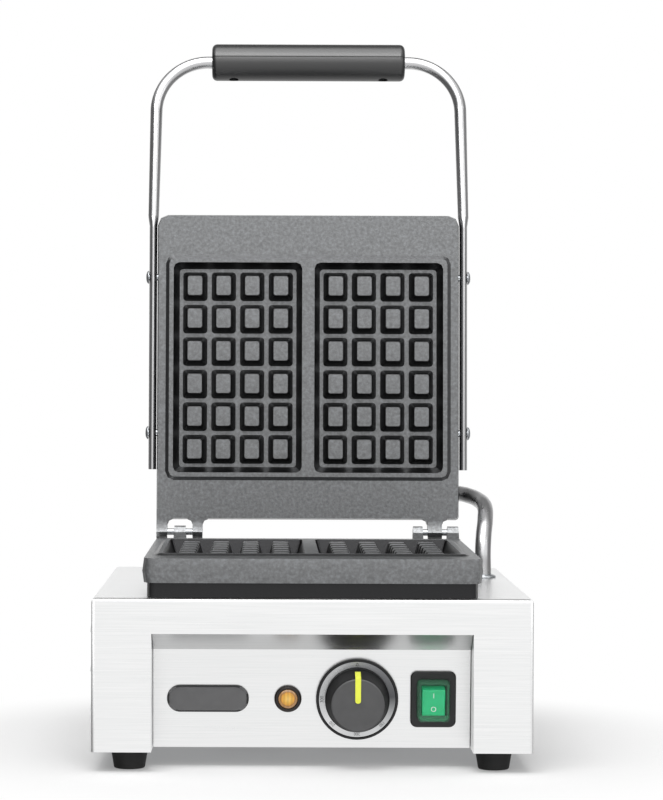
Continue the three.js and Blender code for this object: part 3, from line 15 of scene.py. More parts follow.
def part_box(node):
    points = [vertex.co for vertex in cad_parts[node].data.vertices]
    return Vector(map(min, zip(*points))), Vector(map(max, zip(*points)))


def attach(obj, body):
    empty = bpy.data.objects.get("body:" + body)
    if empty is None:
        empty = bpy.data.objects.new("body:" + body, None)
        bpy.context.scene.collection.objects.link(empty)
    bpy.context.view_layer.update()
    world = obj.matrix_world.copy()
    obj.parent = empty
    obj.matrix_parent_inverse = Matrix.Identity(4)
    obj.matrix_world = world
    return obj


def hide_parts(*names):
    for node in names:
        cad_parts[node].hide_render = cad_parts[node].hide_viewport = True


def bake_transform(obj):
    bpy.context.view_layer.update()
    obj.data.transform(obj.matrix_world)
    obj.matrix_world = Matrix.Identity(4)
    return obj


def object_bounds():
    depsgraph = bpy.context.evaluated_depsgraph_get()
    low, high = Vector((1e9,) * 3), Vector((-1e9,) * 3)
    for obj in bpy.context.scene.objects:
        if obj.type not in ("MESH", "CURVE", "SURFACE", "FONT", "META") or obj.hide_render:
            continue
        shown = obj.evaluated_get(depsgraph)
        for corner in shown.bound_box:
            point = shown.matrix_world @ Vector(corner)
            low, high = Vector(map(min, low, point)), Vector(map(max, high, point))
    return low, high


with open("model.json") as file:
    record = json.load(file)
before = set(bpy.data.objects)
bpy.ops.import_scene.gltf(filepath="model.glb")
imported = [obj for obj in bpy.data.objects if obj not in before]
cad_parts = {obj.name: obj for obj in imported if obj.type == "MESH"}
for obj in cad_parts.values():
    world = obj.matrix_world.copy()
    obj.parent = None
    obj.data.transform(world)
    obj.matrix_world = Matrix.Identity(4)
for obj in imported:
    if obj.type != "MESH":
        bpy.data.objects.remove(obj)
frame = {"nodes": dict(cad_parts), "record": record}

MM = 0.001
scene = bpy.context.scene
solid_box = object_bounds()
front_y = solid_box[0][1]
print("nodes:", len(frame["nodes"]), "size in mm:", [round((b - a) / MM, 1) for a, b in zip(*solid_box)])

# %% [markdown]
# ## Camera
# The picture was taken from about two metres with a long lens, level with the open lid, so that
# upright edges stay parallel. Turning a camera down would make them lean. A shifted lens moves the
# frame instead, as on a view camera. The picture also leans by a fifth of a degree.

# %% Camera
camera_data = bpy.data.cameras.new("camera")
camera_data.sensor_width = 36
camera_data.lens = 126.7
camera_data.shift_x = 0.0806
camera_data.shift_y = -0.0382
camera_data.clip_end = 30
camera = bpy.data.objects.new("camera", camera_data)
scene.collection.objects.link(camera)
camera_side, camera_height, camera_distance = -32 * MM, 278 * MM, 1938 * MM
camera.location = (camera_side, front_y - camera_distance, camera_height)
camera.rotation_euler = (math.radians(90), math.radians(-0.2), 0)
bpy.context.scene.camera = camera
print("the camera stands", camera_distance, "m before the housing")

# %% [markdown]
# ## Light
# Polished and brushed steel have no colour of their own: they show the studio. So the studio is a white
# tent with a dark cloth on its left and a grey one on its right, which draw the dark and the grey line
# along a rod. A third cloth, behind and above, draws the thin dark line along the top of rod and grip.
# What the camera sees straight or through a clear piece is a plain white backdrop. Four soft lamps give
# the light a direction, at a level where a colour renders about as it is written.

# %% Node and colour helpers
def fill(node, inputs):
    """Sets a node's inputs. An output gets linked, and a whole node stands for its first live output."""
    for name, value in inputs.items():
        if isinstance(value, bpy.types.Node):
            value = next(socket for socket in value.outputs if socket.enabled)
        if isinstance(value, bpy.types.NodeSocket):
            node.id_data.links.new(value, node.inputs[name])
        else:
            node.inputs[name].default_value = value

def add_node(tree, kind, settings=None, inputs=None):
    """Adds one shader node. A Mix node takes its share at 0, vectors at 4 and 5, colours at 6 and 7."""
    node = tree.nodes.new("ShaderNode" + kind)
    for name, value in (settings or {}).items():
        setattr(node, name, value)
    fill(node, inputs or {})
    return node

def linear(hex_colour):
    """An sRGB hex colour as the linear RGBA that shaders use."""
    channels = [int(hex_colour[i:i + 2], 16) / 255 for i in (0, 2, 4)]
    return tuple(c / 12.92 if c <= 0.04045 else ((c + 0.055) / 1.055) ** 2.4 for c in channels) + (1,)

def set_stops(ramp_node, *stops):
    """Gives a colour ramp its stops, each a place from 0 to 1 and a hex colour."""
    elements = ramp_node.color_ramp.elements
    while len(elements) < len(stops):
        elements.new(0.5)
    for element, (place, colour) in zip(elements, sorted(stops)):
        element.position, element.color = place, linear(colour)
    return ramp_node

# %% Cloths of the tent
scene.view_settings.view_transform = "Standard"
world = bpy.data.worlds.new("studio tent")
scene.world = world
world.use_nodes = True
sky = world.node_tree
sky.nodes.clear()
way = add_node(sky, "SeparateXYZ", inputs={"Vector": add_node(sky, "TexCoord").outputs["Generated"]})
forwards = add_node(sky, "Math", {"operation": "MULTIPLY"}, {0: way.outputs["Y"], 1: -1})
swing = add_node(sky, "Math", {"operation": "ARCTAN2"}, {0: way.outputs["X"], 1: forwards})
around = add_node(sky, "Math", {"operation": "MULTIPLY_ADD"}, {0: swing, 1: 0.5 / math.pi, 2: 0.5})
# On the ramp 0 and 1 are behind the iron, 0.25 is on its left, 0.5 in front and 0.75 on its right.
cloths = set_stops(
    add_node(sky, "ValToRGB", inputs={"Fac": around}),
    (0, "ffffff"), (0.04, "ffffff"), (0.09, "8a8a8a"), (0.2, "6c6c6c"), (0.37, "6c6c6c"), (0.44, "f4f4f4"),
    (0.5, "ffffff"), (0.62, "f0f0f0"), (0.7, "a0a0a0"), (0.86, "989898"), (0.93, "e8e8e8"),
    (0.96, "ffffff"), (1, "ffffff"))
overhead = add_node(sky, "MapRange", inputs={"Value": way.outputs["Z"], "From Min": 0.45, "From Max": 0.75})
under_roof = add_node(sky, "Mix", {"data_type": "RGBA"}, {0: overhead, 6: cloths, 7: (1, 1, 1, 1)})
behind = add_node(sky, "MapRange", inputs={"Value": way.outputs["Y"], "From Min": 0.1, "From Max": 0.35})
above = add_node(sky, "MapRange", inputs={"Value": way.outputs["Z"], "From Min": 0.42, "From Max": 0.6})
rear_share = add_node(sky, "Math", {"operation": "MULTIPLY"}, {0: behind, 1: above})
all_cloths = add_node(sky, "Mix", {"data_type": "RGBA"}, {0: rear_share, 6: under_roof, 7: linear("828282")})
print("tent colour nodes:", len(sky.nodes))

# %% Light of the tent
tent_light, extra_in_gloss, light_from_below = 0.54, 0.52, 0.8
lowered = add_node(sky, "MapRange", inputs={
    "Value": way.outputs["Z"], "From Min": -0.75, "From Max": -0.4, "To Min": light_from_below})
rays = add_node(sky, "LightPath")
level = add_node(sky, "Math", {"operation": "MULTIPLY_ADD"}, {
    0: rays.outputs["Is Glossy Ray"], 1: extra_in_gloss, 2: tent_light})
strength = add_node(sky, "Math", {"operation": "MULTIPLY"}, {0: level, 1: lowered})
tent = add_node(sky, "Background", inputs={"Color": all_cloths, "Strength": strength})
backdrop = add_node(sky, "Background", inputs={"Color": (1, 1, 1, 1), "Strength": 1})
straight = add_node(sky, "Math", {"operation": "MAXIMUM"}, {
    0: rays.outputs["Is Camera Ray"], 1: rays.outputs["Is Transmission Ray"]})
seen = add_node(sky, "MixShader", inputs={"Fac": straight, 1: tent, 2: backdrop})
add_node(sky, "OutputWorld", inputs={"Surface": seen})
print("world nodes:", len(sky.nodes))

# %% Lamps
iron_middle = Vector((0, 0, 0.25))
for name, place, width, height, watts in (
    ("key strip", (-0.35, -1.2, 1.9), 2.2, 0.9, 30), ("low strip", (-0.2, -1.9, 1.15), 2.2, 0.8, 6),
    ("fill softbox", (1.3, -1.0, 0.9), 1.0, 1.0, 3), ("top softbox", (0, -0.3, 1.95), 1.6, 1.2, 13),
):
    lamp_data = bpy.data.lights.new(name, "AREA")
    lamp_data.shape, lamp_data.size, lamp_data.size_y, lamp_data.energy = "RECTANGLE", width, height, watts
    lamp = bpy.data.objects.new(name, lamp_data)
    scene.collection.objects.link(lamp)
    lamp.location = place
    lamp.rotation_euler = (iron_middle - Vector(place)).to_track_quat("-Z", "Y").to_euler()
print("lamps:", len(bpy.data.lights))

# %% [markdown]
# ## Floor
# Near the iron the floor is matt white paper that catches a soft shadow. It glows a little, so that the
# shadow stays light. Further out it turns into plain white light, so that no horizon shows where the
# paper would run to grey. Metal doesn't mirror it, because the tent already gives its light from below.

# %% Finish helper
def finish(name, **sockets):
    """A principled material with its tree, its shader and its Object coordinates, ready for a pattern."""
    material = bpy.data.materials.new(name)
    material.use_nodes = True
    tree = material.node_tree
    shader = tree.nodes["Principled BSDF"]
    fill(shader, {key.replace("_", " "): value for key, value in sockets.items()})
    return material, tree, shader, add_node(tree, "TexCoord").outputs["Object"]

# %% Floor
bpy.ops.object.select_all(action="DESELECT")
bpy.ops.mesh.primitive_plane_add(size=24)
floor = bpy.context.object
floor.name = "studio_floor"
paper, tree, shader, at = finish(
    "matt white studio paper", Base_Color=linear("dcdcdc"), Roughness=0.9, Specular_IOR_Level=0.1)
reach = add_node(tree, "VectorMath", {"operation": "LENGTH"}, {0: at})
fade = add_node(tree, "MapRange", {"interpolation_type": "SMOOTHSTEP"}, {
    "Value": reach, "From Min": 0.17, "From Max": 0.36, "To Min": 0.2})
glow = add_node(tree, "Emission", inputs={"Color": (1, 1, 1, 1), "Strength": 1})
ground = add_node(tree, "MixShader", inputs={"Fac": fade, 1: shader, 2: glow})
fill(tree.nodes["Material Output"], {"Surface": ground})
floor.data.materials.append(paper)
floor.visible_glossy = False
print("floor paper nodes:", len(tree.nodes))

# %% [markdown]
# ## Finishes
# Each finish starts from a principled shader with typical values for the real material. Its pattern is
# drawn on Object coordinates, which are metres here, so a grain of one millimetre has a scale of 1000.

# %% [markdown]
# ### Sand cast iron
# The plates are grey iron poured in sand, then oiled and baked black. A mark left on the mesh for each face
# paints light and shade into the colour: faces turned flat to the light, the outer walls and the hinge tabs are
# painted bright, and the steep faces are painted dark as shade. The sand leaves a grain of one to two
# millimetres: a fine noise moves the height, and a coarser one the colour and the gloss, as oil does that dries
# in patches.

# %% Sand cast iron
cast, tree, shader, at = finish("sand cast iron, oiled and baked", Metallic=0.9)
blotches = add_node(tree, "TexNoise", inputs={"Vector": at, "Scale": 420, "Detail": 3, "Roughness": 0.6})
bright = set_stops(
    add_node(tree, "ValToRGB", inputs={"Fac": blotches}), (0.3, "696a6b"), (0.5, "757677"), (0.7, "828486"))
# Painted light and shade of each face, from the plate's mask: the dark 303031 is painted shade on steep faces,
# and the bright tone is painted light on flats.
painted_light_mask = add_node(tree, "VertexColor", {"layer_name": "painted_light"})
tone_with_painted_shade = add_node(tree, "Mix", {"data_type": "RGBA"}, {0: painted_light_mask, 6: linear("303031"), 7: bright})
sheen = add_node(tree, "MapRange", inputs={
    "Value": blotches, "From Min": 0.3, "From Max": 0.7, "To Min": 0.38, "To Max": 0.32})
grain = add_node(tree, "TexNoise", inputs={"Vector": at, "Scale": 480, "Detail": 3, "Roughness": 0.55})
skin = add_node(tree, "Bump", inputs={"Height": grain, "Strength": 0.4, "Distance": 0.0003})
fill(shader, {"Base Color": tone_with_painted_shade, "Roughness": sheen, "Normal": skin})
print(cast.name, len(tree.nodes))

# %% [markdown]
# ### Brushed stainless sheet
# The housing is 304 sheet, brushed with a belt along its length. The scratches are finer than a pixel,
# so they are drawn about 0.8 mm apart: a noise that is stretched 70 mm along the brushing. On the two
# side walls the brushing runs from front to back, so the noise is turned where the surface faces left
# or right.

# %% Brushed stainless sheet
brushed, tree, shader, at = finish("brushed stainless sheet", Metallic=1)
facing = add_node(tree, "SeparateXYZ", inputs={"Vector": add_node(tree, "TexCoord").outputs["Normal"]})
sideways = add_node(tree, "Math", {"operation": "ABSOLUTE"}, {0: facing.outputs["X"]})
is_side = add_node(tree, "Math", {"operation": "GREATER_THAN"}, {0: sideways, 1: 0.7})
along_x = add_node(tree, "Mapping", inputs={"Vector": at, "Scale": (14, 1200, 1200)})
along_y = add_node(tree, "Mapping", inputs={"Vector": at, "Scale": (1200, 14, 1200)})
brushing = add_node(tree, "Mix", {"data_type": "VECTOR"}, {0: is_side, 4: along_x, 5: along_y})
scratches = add_node(tree, "TexNoise", inputs={"Vector": brushing, "Scale": 1, "Detail": 3, "Roughness": 0.7})
steel_tone = set_stops(add_node(tree, "ValToRGB", inputs={"Fac": scratches}), (0.3, "e9eaea"), (0.7, "f4f4f4"))
dulling = add_node(tree, "MapRange", inputs={
    "Value": scratches, "From Min": 0.3, "From Max": 0.7, "To Min": 0.27, "To Max": 0.37})
furrows = add_node(tree, "Bump", inputs={"Height": scratches, "Strength": 0.1, "Distance": 0.00005})
fill(shader, {"Base Color": steel_tone, "Roughness": dulling, "Normal": furrows})
print(brushed.name, len(tree.nodes))

# %% [markdown]
# ### Turned dial and its dark rim
# The dial's face is turned on a lathe, and its fine rings throw light in fans. A ramp round the axis paints
# these fans into the colour as painted reflection, with light and dark sectors. The rings come from a noise on
# the distance to the dial's axis. The Mapping node puts that axis at zero and squeezes the third direction
# flat. The rim is anodised black.

# %% Turned dial
dial_x, control_y, control_z, panel_tilt = 31.5715, -138.5, 48.65, 5.768
def round_axis(tree, at, axis_x):
    """Coordinates centred on a control's axis and flattened, and their distance to it."""
    centred = add_node(tree, "Mapping", inputs={
        "Vector": at, "Location": (-axis_x * MM, 0, -control_z * MM), "Scale": (1, 0, 1)})
    return centred, add_node(tree, "VectorMath", {"operation": "LENGTH"}, {0: centred})

turned_face, tree, shader, at = finish("lathe turned aluminium", Metallic=1, Roughness=0.25)
centred, radius = round_axis(tree, at, dial_x)
rings = add_node(tree, "TexNoise", {"noise_dimensions": "1D"}, {"W": radius, "Scale": 2400, "Detail": 2})
ring_relief = add_node(tree, "Bump", inputs={"Height": rings, "Strength": 0.5, "Distance": 0.0001})
parts = add_node(tree, "SeparateXYZ", inputs={"Vector": centred})
bearing = add_node(tree, "Math", {"operation": "ARCTAN2"}, {0: parts.outputs["X"], 1: parts.outputs["Z"]})
turn_share = add_node(tree, "MapRange", inputs={"Value": bearing, "From Min": -math.pi, "From Max": math.pi})
# Painted reflection: light and dark sectors of the turned face, round its axis.
painted_reflection_fans = set_stops(
    add_node(tree, "ValToRGB", inputs={"Fac": turn_share}),
    (0, "c9cacb"), (0.14, "dcdcdd"), (0.27, "b4b5b6"), (0.4, "bfc0c1"), (0.5, "9a9b9c"), (0.62, "77787a"),
    (0.74, "58595b"), (0.83, "b2b3b4"), (0.92, "cfd0d1"), (1, "c9cacb"))
fill(shader, {"Base Color": painted_reflection_fans, "Normal": ring_relief})
print(turned_face.name, len(tree.nodes))

# %% Dark rim
anodised, tree, shader, at = finish("black anodised aluminium", Base_Color=linear("2b2b2c"), Metallic=0.6)
haze = add_node(tree, "TexNoise", inputs={"Vector": at, "Scale": 900, "Detail": 2})
fill(shader, {"Roughness": add_node(tree, "MapRange", inputs={"Value": haze, "To Min": 0.3, "To Max": 0.42})})
print(anodised.name, len(tree.nodes))

# %% [markdown]
# ### Plain metals
# Rod, hose, screws and copper differ in colour, gloss and the size of their marks, so one function makes
# them: a noise moves the roughness a little, as wiping marks do, and the height with it.

# %% Plain metals
def metal(name, colour, roughness, spread, mark_mm, relief):
    """A bare metal whose gloss and height vary over marks of a given size."""
    material, tree, shader, at = finish(name, Base_Color=linear(colour), Metallic=1)
    marks = add_node(tree, "TexNoise", inputs={"Vector": at, "Scale": 1 / (mark_mm * MM), "Detail": 3})
    gloss = add_node(tree, "MapRange", inputs={
        "Value": marks, "From Min": 0.3, "From Max": 0.7,
        "To Min": roughness - spread, "To Max": roughness + spread})
    bumps = add_node(tree, "Bump", inputs={"Height": marks, "Strength": relief, "Distance": 0.0001})
    fill(shader, {"Roughness": gloss, "Normal": bumps})
    return material

polished = metal("polished stainless rod", "c6c6c7", 0.22, 0.03, 9, 0.02)
conduit_steel = metal("satin steel conduit", "b6b6b7", 0.3, 0.04, 6, 0.05)
zinc = metal("zinc plated steel", "b4b7ba", 0.34, 0.08, 2.5, 0.15)
copper = metal("drawn copper", "b87345", 0.32, 0.08, 4, 0.1)
print(polished.name, conduit_steel.name, zinc.name, copper.name)

# %% [markdown]
# ### Moulded plastics, rubber and ceramic
# A mould is spark eroded, and its fine pits print a grain of a third of a millimetre on the plastic,
# which breaks up the shine. Rubber is matt and grainier, and fired ceramic is dull and a little uneven
# in colour. The grain is drawn near one millimetre so that it shows.

# %% Moulded finishes
def moulded(name, colour, darker, roughness, grain_mm, relief, **sockets):
    """A moulded or fired surface: slow colour variation and a fine grain."""
    material, tree, shader, at = finish(name, Roughness=roughness, **sockets)
    cloud = add_node(tree, "TexNoise", inputs={"Vector": at, "Scale": 120, "Detail": 2})
    tone = set_stops(add_node(tree, "ValToRGB", inputs={"Fac": cloud}), (0.3, darker), (0.7, colour))
    pits = add_node(tree, "TexNoise", inputs={"Vector": at, "Scale": 1 / (grain_mm * MM), "Detail": 2})
    bumps = add_node(tree, "Bump", inputs={"Height": pits, "Strength": relief, "Distance": 0.0001})
    fill(shader, {"Base Color": tone, "Normal": bumps})
    return material

rubber = moulded("moulded black rubber", "202020", "1a1a1a", 0.75, 0.9, 0.5)
black = moulded("moulded black polyamide", "1b1b1c", "171718", 0.36, 0.8, 0.2, Specular_IOR_Level=0.42)
bakelite = moulded("moulded brown black phenolic", "241d1a", "1e1815", 0.3, 1.1, 0.15, Specular_IOR_Level=0.42)
grip_black = moulded(
    "moulded black polyamide, satin", "0c0c0d", "09090a", 0.36, 0.9, 0.15, Specular_IOR_Level=1.0)
# A darker, duller black that paints shade on the knob's side.
black_painted_shade = moulded(
    "moulded black polyamide, painted shade", "161617", "121213", 0.5, 0.8, 0.2, Specular_IOR_Level=0.2)
grey = moulded("moulded grey polyamide", "4d4d4e", "474748", 0.42, 0.8, 0.25)
badge_grey = moulded("printed grey plastic", "5e5e5f", "585859", 0.45, 0.8, 0.1)
lime = moulded("moulded lime plastic", "e6ec4c", "dfe645", 0.4, 0.9, 0.1)
green = moulded("moulded green polycarbonate", "2fcf8c", "2ac683", 0.28, 1.2, 0.05,
                Subsurface_Weight=0.15, Subsurface_Scale=0.002)
ceramic = moulded("fired steatite", "e8e2d4", "ddd6c6", 0.7, 0.9, 0.4)
white_ink = moulded("white pad print", "f4f6f4", "eef0ee", 0.5, 0.8, 0.1)
black_ink = moulded("black pad print", "2a2a2c", "252527", 0.5, 0.8, 0.1)
print("moulded finishes:", rubber.name, black.name, grey.name, green.name)

# %% [markdown]
# ### Switch cover
# The cover is clear soft silicone that has gone a little milky. Over the rocker it is a thin skin that
# hardly shows. Its thick border stands over the black frame and looks dull green, because it carries
# the rocker's colour sideways. Alpha follows that: low in a window, higher round it.

# %% Switch cover
switch_x, window_z, window_half, window_extra_height = 84.5865, control_z + 0.6, 8.6, 1.7
clear, tree, shader, at = finish("clear silicone", Base_Color=linear("5fae84"), Roughness=0.22, IOR=1.41)
where = add_node(tree, "SeparateXYZ", inputs={
    "Vector": add_node(tree, "Mapping", inputs={
        "Vector": at, "Location": (-switch_x * MM, 0, -window_z * MM)})})
from_side = add_node(tree, "Math", {"operation": "ABSOLUTE"}, {0: where.outputs["X"]})
from_middle = add_node(tree, "Math", {"operation": "ABSOLUTE"}, {0: where.outputs["Z"]})
taller = add_node(tree, "Math", {"operation": "SUBTRACT"}, {0: from_middle, 1: window_extra_height * MM})
outwards = add_node(tree, "Math", {"operation": "MAXIMUM"}, {0: from_side, 1: taller})
border = add_node(tree, "MapRange", {"interpolation_type": "SMOOTHSTEP"}, {
    "Value": outwards, "From Min": window_half * MM, "From Max": (window_half + 1) * MM,
    "To Min": 0.05, "To Max": 0.2})
fill(shader, {"Alpha": border})
print(clear.name, len(tree.nodes))

# %% [markdown]
# ### Lamp lens
# The pilot lamp is a clear amber cap over a small bulb. The lit bulb is painted into the lens's colour as
# painted glow: yellow in the middle, brown at the rim, and upright stripes of painted light where fine flutes
# inside break the light. The distance from the lens's axis drives the colour, and a wave that runs sideways
# draws the flutes.

# %% Lamp lens
lamp_x, glow_radius = -16.635, 7
amber, tree, shader, at = finish("clear amber polycarbonate", Roughness=0.12, IOR=1.58, Coat_Weight=0.4)
centred, off_axis = round_axis(tree, at, lamp_x)
glow_share = add_node(tree, "MapRange", inputs={"Value": off_axis, "From Max": glow_radius * MM})
# Painted glow of the bulb: bright yellow in the middle, fading to brown at the rim.
glow_colour = set_stops(
    add_node(tree, "ValToRGB", inputs={"Fac": glow_share}),
    (0, "f6c968"), (0.35, "eab33c"), (0.62, "dd9a28"), (0.72, "a5712f"), (0.86, "c79a6a"), (1, "5f3c22"))
# The flutes paint upright stripes of light over the glow.
flutes = add_node(tree, "TexWave", {"bands_direction": "X"}, {
    "Vector": centred, "Scale": 120, "Distortion": 1.5})
flute_share = add_node(tree, "MapRange", inputs={"Value": flutes.outputs["Fac"], "To Min": 0.78, "To Max": 1.0})
fluted = add_node(tree, "Mix", {"data_type": "RGBA", "blend_type": "MULTIPLY"}, {
    0: 1.0, 6: glow_colour, 7: flute_share})
fill(shader, {"Base Color": fluted})
print(amber.name, len(tree.nodes))

# %% [markdown]
# ## The solids get their finishes
# Every solid that stays visible takes the finish of its slot in the record. The mesh isn't touched.

# %% Finishes of the solids
finish_of_slot = {
    "brushed_stainless": brushed, "polished_steel": polished, "cast_iron": cast, "zinc_steel": zinc,
    "black_rubber": rubber, "black_plastic": black, "dark_grey_plastic": grey, "lime_plastic": lime,
    "green_plastic": green, "clear_cover": clear, "amber_lens": amber, "ceramic": ceramic, "copper": copper,
}
slot_of_node = {entry["node"]: entry["material_slot"] for entry in frame["record"]["subparts"]}
for node, slot in slot_of_node.items():
    mesh = frame["nodes"][node].data
    mesh.materials.clear()
    mesh.materials.append(finish_of_slot[slot])
print("solids with a finish:", len(slot_of_node))

# %% [markdown]
# ## Places
# Pieces are drawn lying flat, in millimetres, and moved into place at the end by a matrix that goes
# into the mesh. Three places matter: the control panel, which tips back by almost six degrees, the
# open lid, which leans two and a half degrees, and the pattern that both cast plates share.

# %% Places
def shift(x, y, z):
    """A move in millimetres."""
    return Matrix.Translation(Vector((x, y, z)) * MM)

def spin(degrees, axis):
    """A turn about one axis."""
    return Matrix.Rotation(math.radians(degrees), 4, axis)

hinge_y, hinge_z, rim_z, lid_lean = 83.45, 151.8, 147.6, 2.5
panel_front = shift(0, control_y, control_z) @ spin(panel_tilt, "X") @ spin(90, "X")
lid_place = shift(0, hinge_y, hinge_z) @ spin(-lid_lean, "X")
lower_pattern = shift(0, hinge_y, rim_z)
upper_pattern = lid_place @ shift(0, -1, 0) @ spin(-90, "X") @ spin(180, "Y")
print("hinge at", hinge_y, hinge_z)

# %% [markdown]
# ## Modelling helpers
# Most pieces here are turned or moulded, so one helper does what a hand does in edit mode: it adds a
# circle or a plane, rounds the plane's corners, and extrudes and scales it level by level. If the last
# level meets the first, the piece is a ring with a hole through it. Other helpers break the edges with
# a bevel, cut holes with a boolean, copy a finished piece, and hand it to its body. Operators act on
# all that is selected, so each helper first selects just what it means.

# %% Selecting
def only(piece):
    """Selects one object alone."""
    bpy.ops.object.select_all(action="DESELECT")
    piece.select_set(True)
    bpy.context.view_layer.objects.active = piece
    bpy.context.tool_settings.mesh_select_mode = (True, False, False)

def opened(piece):
    """Opens a piece in edit mode with all of it selected."""
    only(piece)
    bpy.ops.object.mode_set(mode="EDIT")
    bpy.ops.mesh.select_all(action="SELECT")

def pick(piece, test):
    """Opens a piece in edit mode with only the faces selected whose corners and normal pass a test."""
    bpy.ops.object.mode_set(mode="OBJECT")
    only(piece)
    bpy.context.tool_settings.mesh_select_mode = (False, False, True)
    piece.data.vertices.foreach_set("select", [False] * len(piece.data.vertices))
    piece.data.edges.foreach_set("select", [False] * len(piece.data.edges))
    for face in piece.data.polygons:
        corners = [piece.data.vertices[i].co / MM for i in face.vertices]
        face.select = bool(test(corners, face.normal))
    bpy.ops.object.mode_set(mode="EDIT")

# %% Stacking levels
def stacked(name, levels, corner=None, sides=72, corner_steps=6):
    """Extrudes an outline through (width, length, height) levels in mm. Without a corner it is round."""
    bpy.ops.object.select_all(action="DESELECT")
    width, length, height = levels[0]
    if corner is None:
        cap = "NOTHING" if levels[0] == levels[-1] else "NGON"
        bpy.ops.mesh.primitive_circle_add(vertices=sides, radius=0.5, fill_type=cap)
    else:
        bpy.ops.mesh.primitive_plane_add(size=1)
    piece = bpy.context.object
    piece.name = piece.data.name = name
    bpy.ops.object.mode_set(mode="EDIT")
    bpy.ops.transform.resize(value=(width * MM, length * MM, 1), center_override=(0, 0, 0))
    bpy.ops.transform.translate(value=(0, 0, height * MM))
    if corner is not None:
        bpy.ops.mesh.bevel(affect="VERTICES", offset=corner * MM, segments=corner_steps)
        bpy.ops.mesh.select_all(action="SELECT")
    for next_width, next_length, next_height in levels[1:]:
        bpy.ops.mesh.extrude_region_move(TRANSFORM_OT_translate={"value": (0, 0, (next_height - height) * MM)})
        bpy.ops.transform.resize(value=(next_width / width, next_length / length, 1), center_override=(0, 0, 0))
        width, length, height = next_width, next_length, next_height
    bpy.ops.mesh.select_all(action="SELECT")
    bpy.ops.mesh.remove_doubles(threshold=1e-6)
    bpy.ops.mesh.normals_make_consistent(inside=False)
    bpy.ops.object.mode_set(mode="OBJECT")
    return piece

def turned(name, rings, sides=72):
    """A round piece from (radius, height) rings."""
    return stacked(name, [(2 * radius, 2 * radius, height) for radius, height in rings], sides=sides)

# %% Edges, holes and seams
def eased(piece, width, segments=2, limit=35, smooth=40):
    """Breaks the sharp edges by a bevel of some mm, and keeps the flat faces flat in the shading."""
    only(piece)
    if width:
        bevel = piece.modifiers.new("edge radius", "BEVEL")
        bevel.width, bevel.segments = width * MM, segments
        bevel.limit_method, bevel.angle_limit = "ANGLE", math.radians(limit)
        bpy.ops.object.modifier_apply(modifier=bevel.name)
    bpy.ops.object.shade_smooth_by_angle(angle=math.radians(smooth))
    flat = piece.modifiers.new("flat faces", "WEIGHTED_NORMAL")
    flat.keep_sharp = True
    bpy.ops.object.modifier_apply(modifier=flat.name)
    return piece

def drilled(piece, tool, place=Matrix()):
    """Puts a tool in its place, cuts it out of a piece, and throws it away."""
    tool.data.transform(place)
    only(piece)
    hole = piece.modifiers.new("hole", "BOOLEAN")
    hole.operation, hole.solver, hole.object = "DIFFERENCE", "EXACT", tool
    bpy.ops.object.modifier_apply(modifier=hole.name)
    bpy.data.objects.remove(tool)
    return piece

def welded(piece):
    """Joins points that lie on each other, as where a bar's end caps meet the bar."""
    opened(piece)
    bpy.ops.mesh.remove_doubles(threshold=0.01 * MM)
    bpy.ops.object.mode_set(mode="OBJECT")
    return piece

# %% Copies, places and second finishes
def copy_of(piece, name, place):
    """A copy with its own mesh, moved by a place."""
    twin = piece.copy()
    twin.data = piece.data.copy()
    twin.name = twin.data.name = name
    scene.collection.objects.link(twin)
    twin.data.transform(place)
    return twin

def fit(piece, material, body, node, place=Matrix()):
    """Puts a piece in its place and hands it to its body, instead of the solid that it stands for."""
    piece.data.transform(place)
    piece.data.materials.append(material)
    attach(piece, body)
    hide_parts(node)
    return piece

def refinish(piece, material, place, test):
    """Gives another finish to the faces whose middle, in the place's own millimetres, passes a test."""
    piece.data.materials.append(material)
    for face in piece.data.polygons:
        face.material_index = int(test(place.inverted() @ face.center / MM))

def from_solid(node, name):
    """A copy of a solid, with its loose triangles merged and its flat faces joined."""
    piece = bpy.data.objects.new(name, frame["nodes"][node].data.copy())
    scene.collection.objects.link(piece)
    piece.data.materials.clear()
    opened(piece)
    bpy.ops.mesh.remove_doubles(threshold=1e-6)
    bpy.ops.mesh.dissolve_limited(angle_limit=math.radians(0.4))
    bpy.ops.object.mode_set(mode="OBJECT")
    return piece

# %% [markdown]
# ## Housing, panel and covers
# These are folded from sheet on a press brake, so their shapes are right in the solids already. A real
# sheet has no knife edges: laser cutting and brushing leave about a third of a millimetre. A copy of
# each solid gets that edge with a bevel, which draws the thin bright line along a fold.

# %% Sheet pieces
for node, name, body, width in (
    ("housing_shell", "brushed_housing", "base", 0.35), ("control_panel", "brushed_panel", "base", 0.3),
    ("lid_back_cover", "brushed_lid_cover", "lid", 0.5),
):
    sheet_piece = fit(eased(from_solid(node, name), width), brushed, body, node)
    print(name, "faces:", len(sheet_piece.data.polygons))

# %% [markdown]
# ## Cast plates
# A plate is one casting: a slab with a raised frame, two pockets and 48 pegs. The solid's pegs have
# sharp corners, but a pattern maker rounds them so that the sand lets go, most of all at the root. So
# the pegs of the copy are deleted, the pocket floor is closed again, and rounded pegs are set into it:
# a plane with its corners rounded by almost three millimetres, extruded and drawn in.

# %% One rounded peg
peg_root, peg_top, pocket_floor, peg_height = (19.1, 22.6), (11.8, 15.3), -12.6, 13.0
def peg_level(share, drop=0.0):
    """The peg's width, length and height at a share of its rise."""
    width, length = (root + (top - root) * share for root, top in zip(peg_root, peg_top))
    return width, length, pocket_floor + peg_height * share - drop

worn_top = (10.9, 14.4, 0.35)
peg = stacked("peg", [peg_level(0, 0.4), peg_level(0.02), peg_level(0.93), worn_top],
              corner=2.7, corner_steps=4)
eased(peg, 0, smooth=50)
print("peg faces:", len(peg.data.polygons))

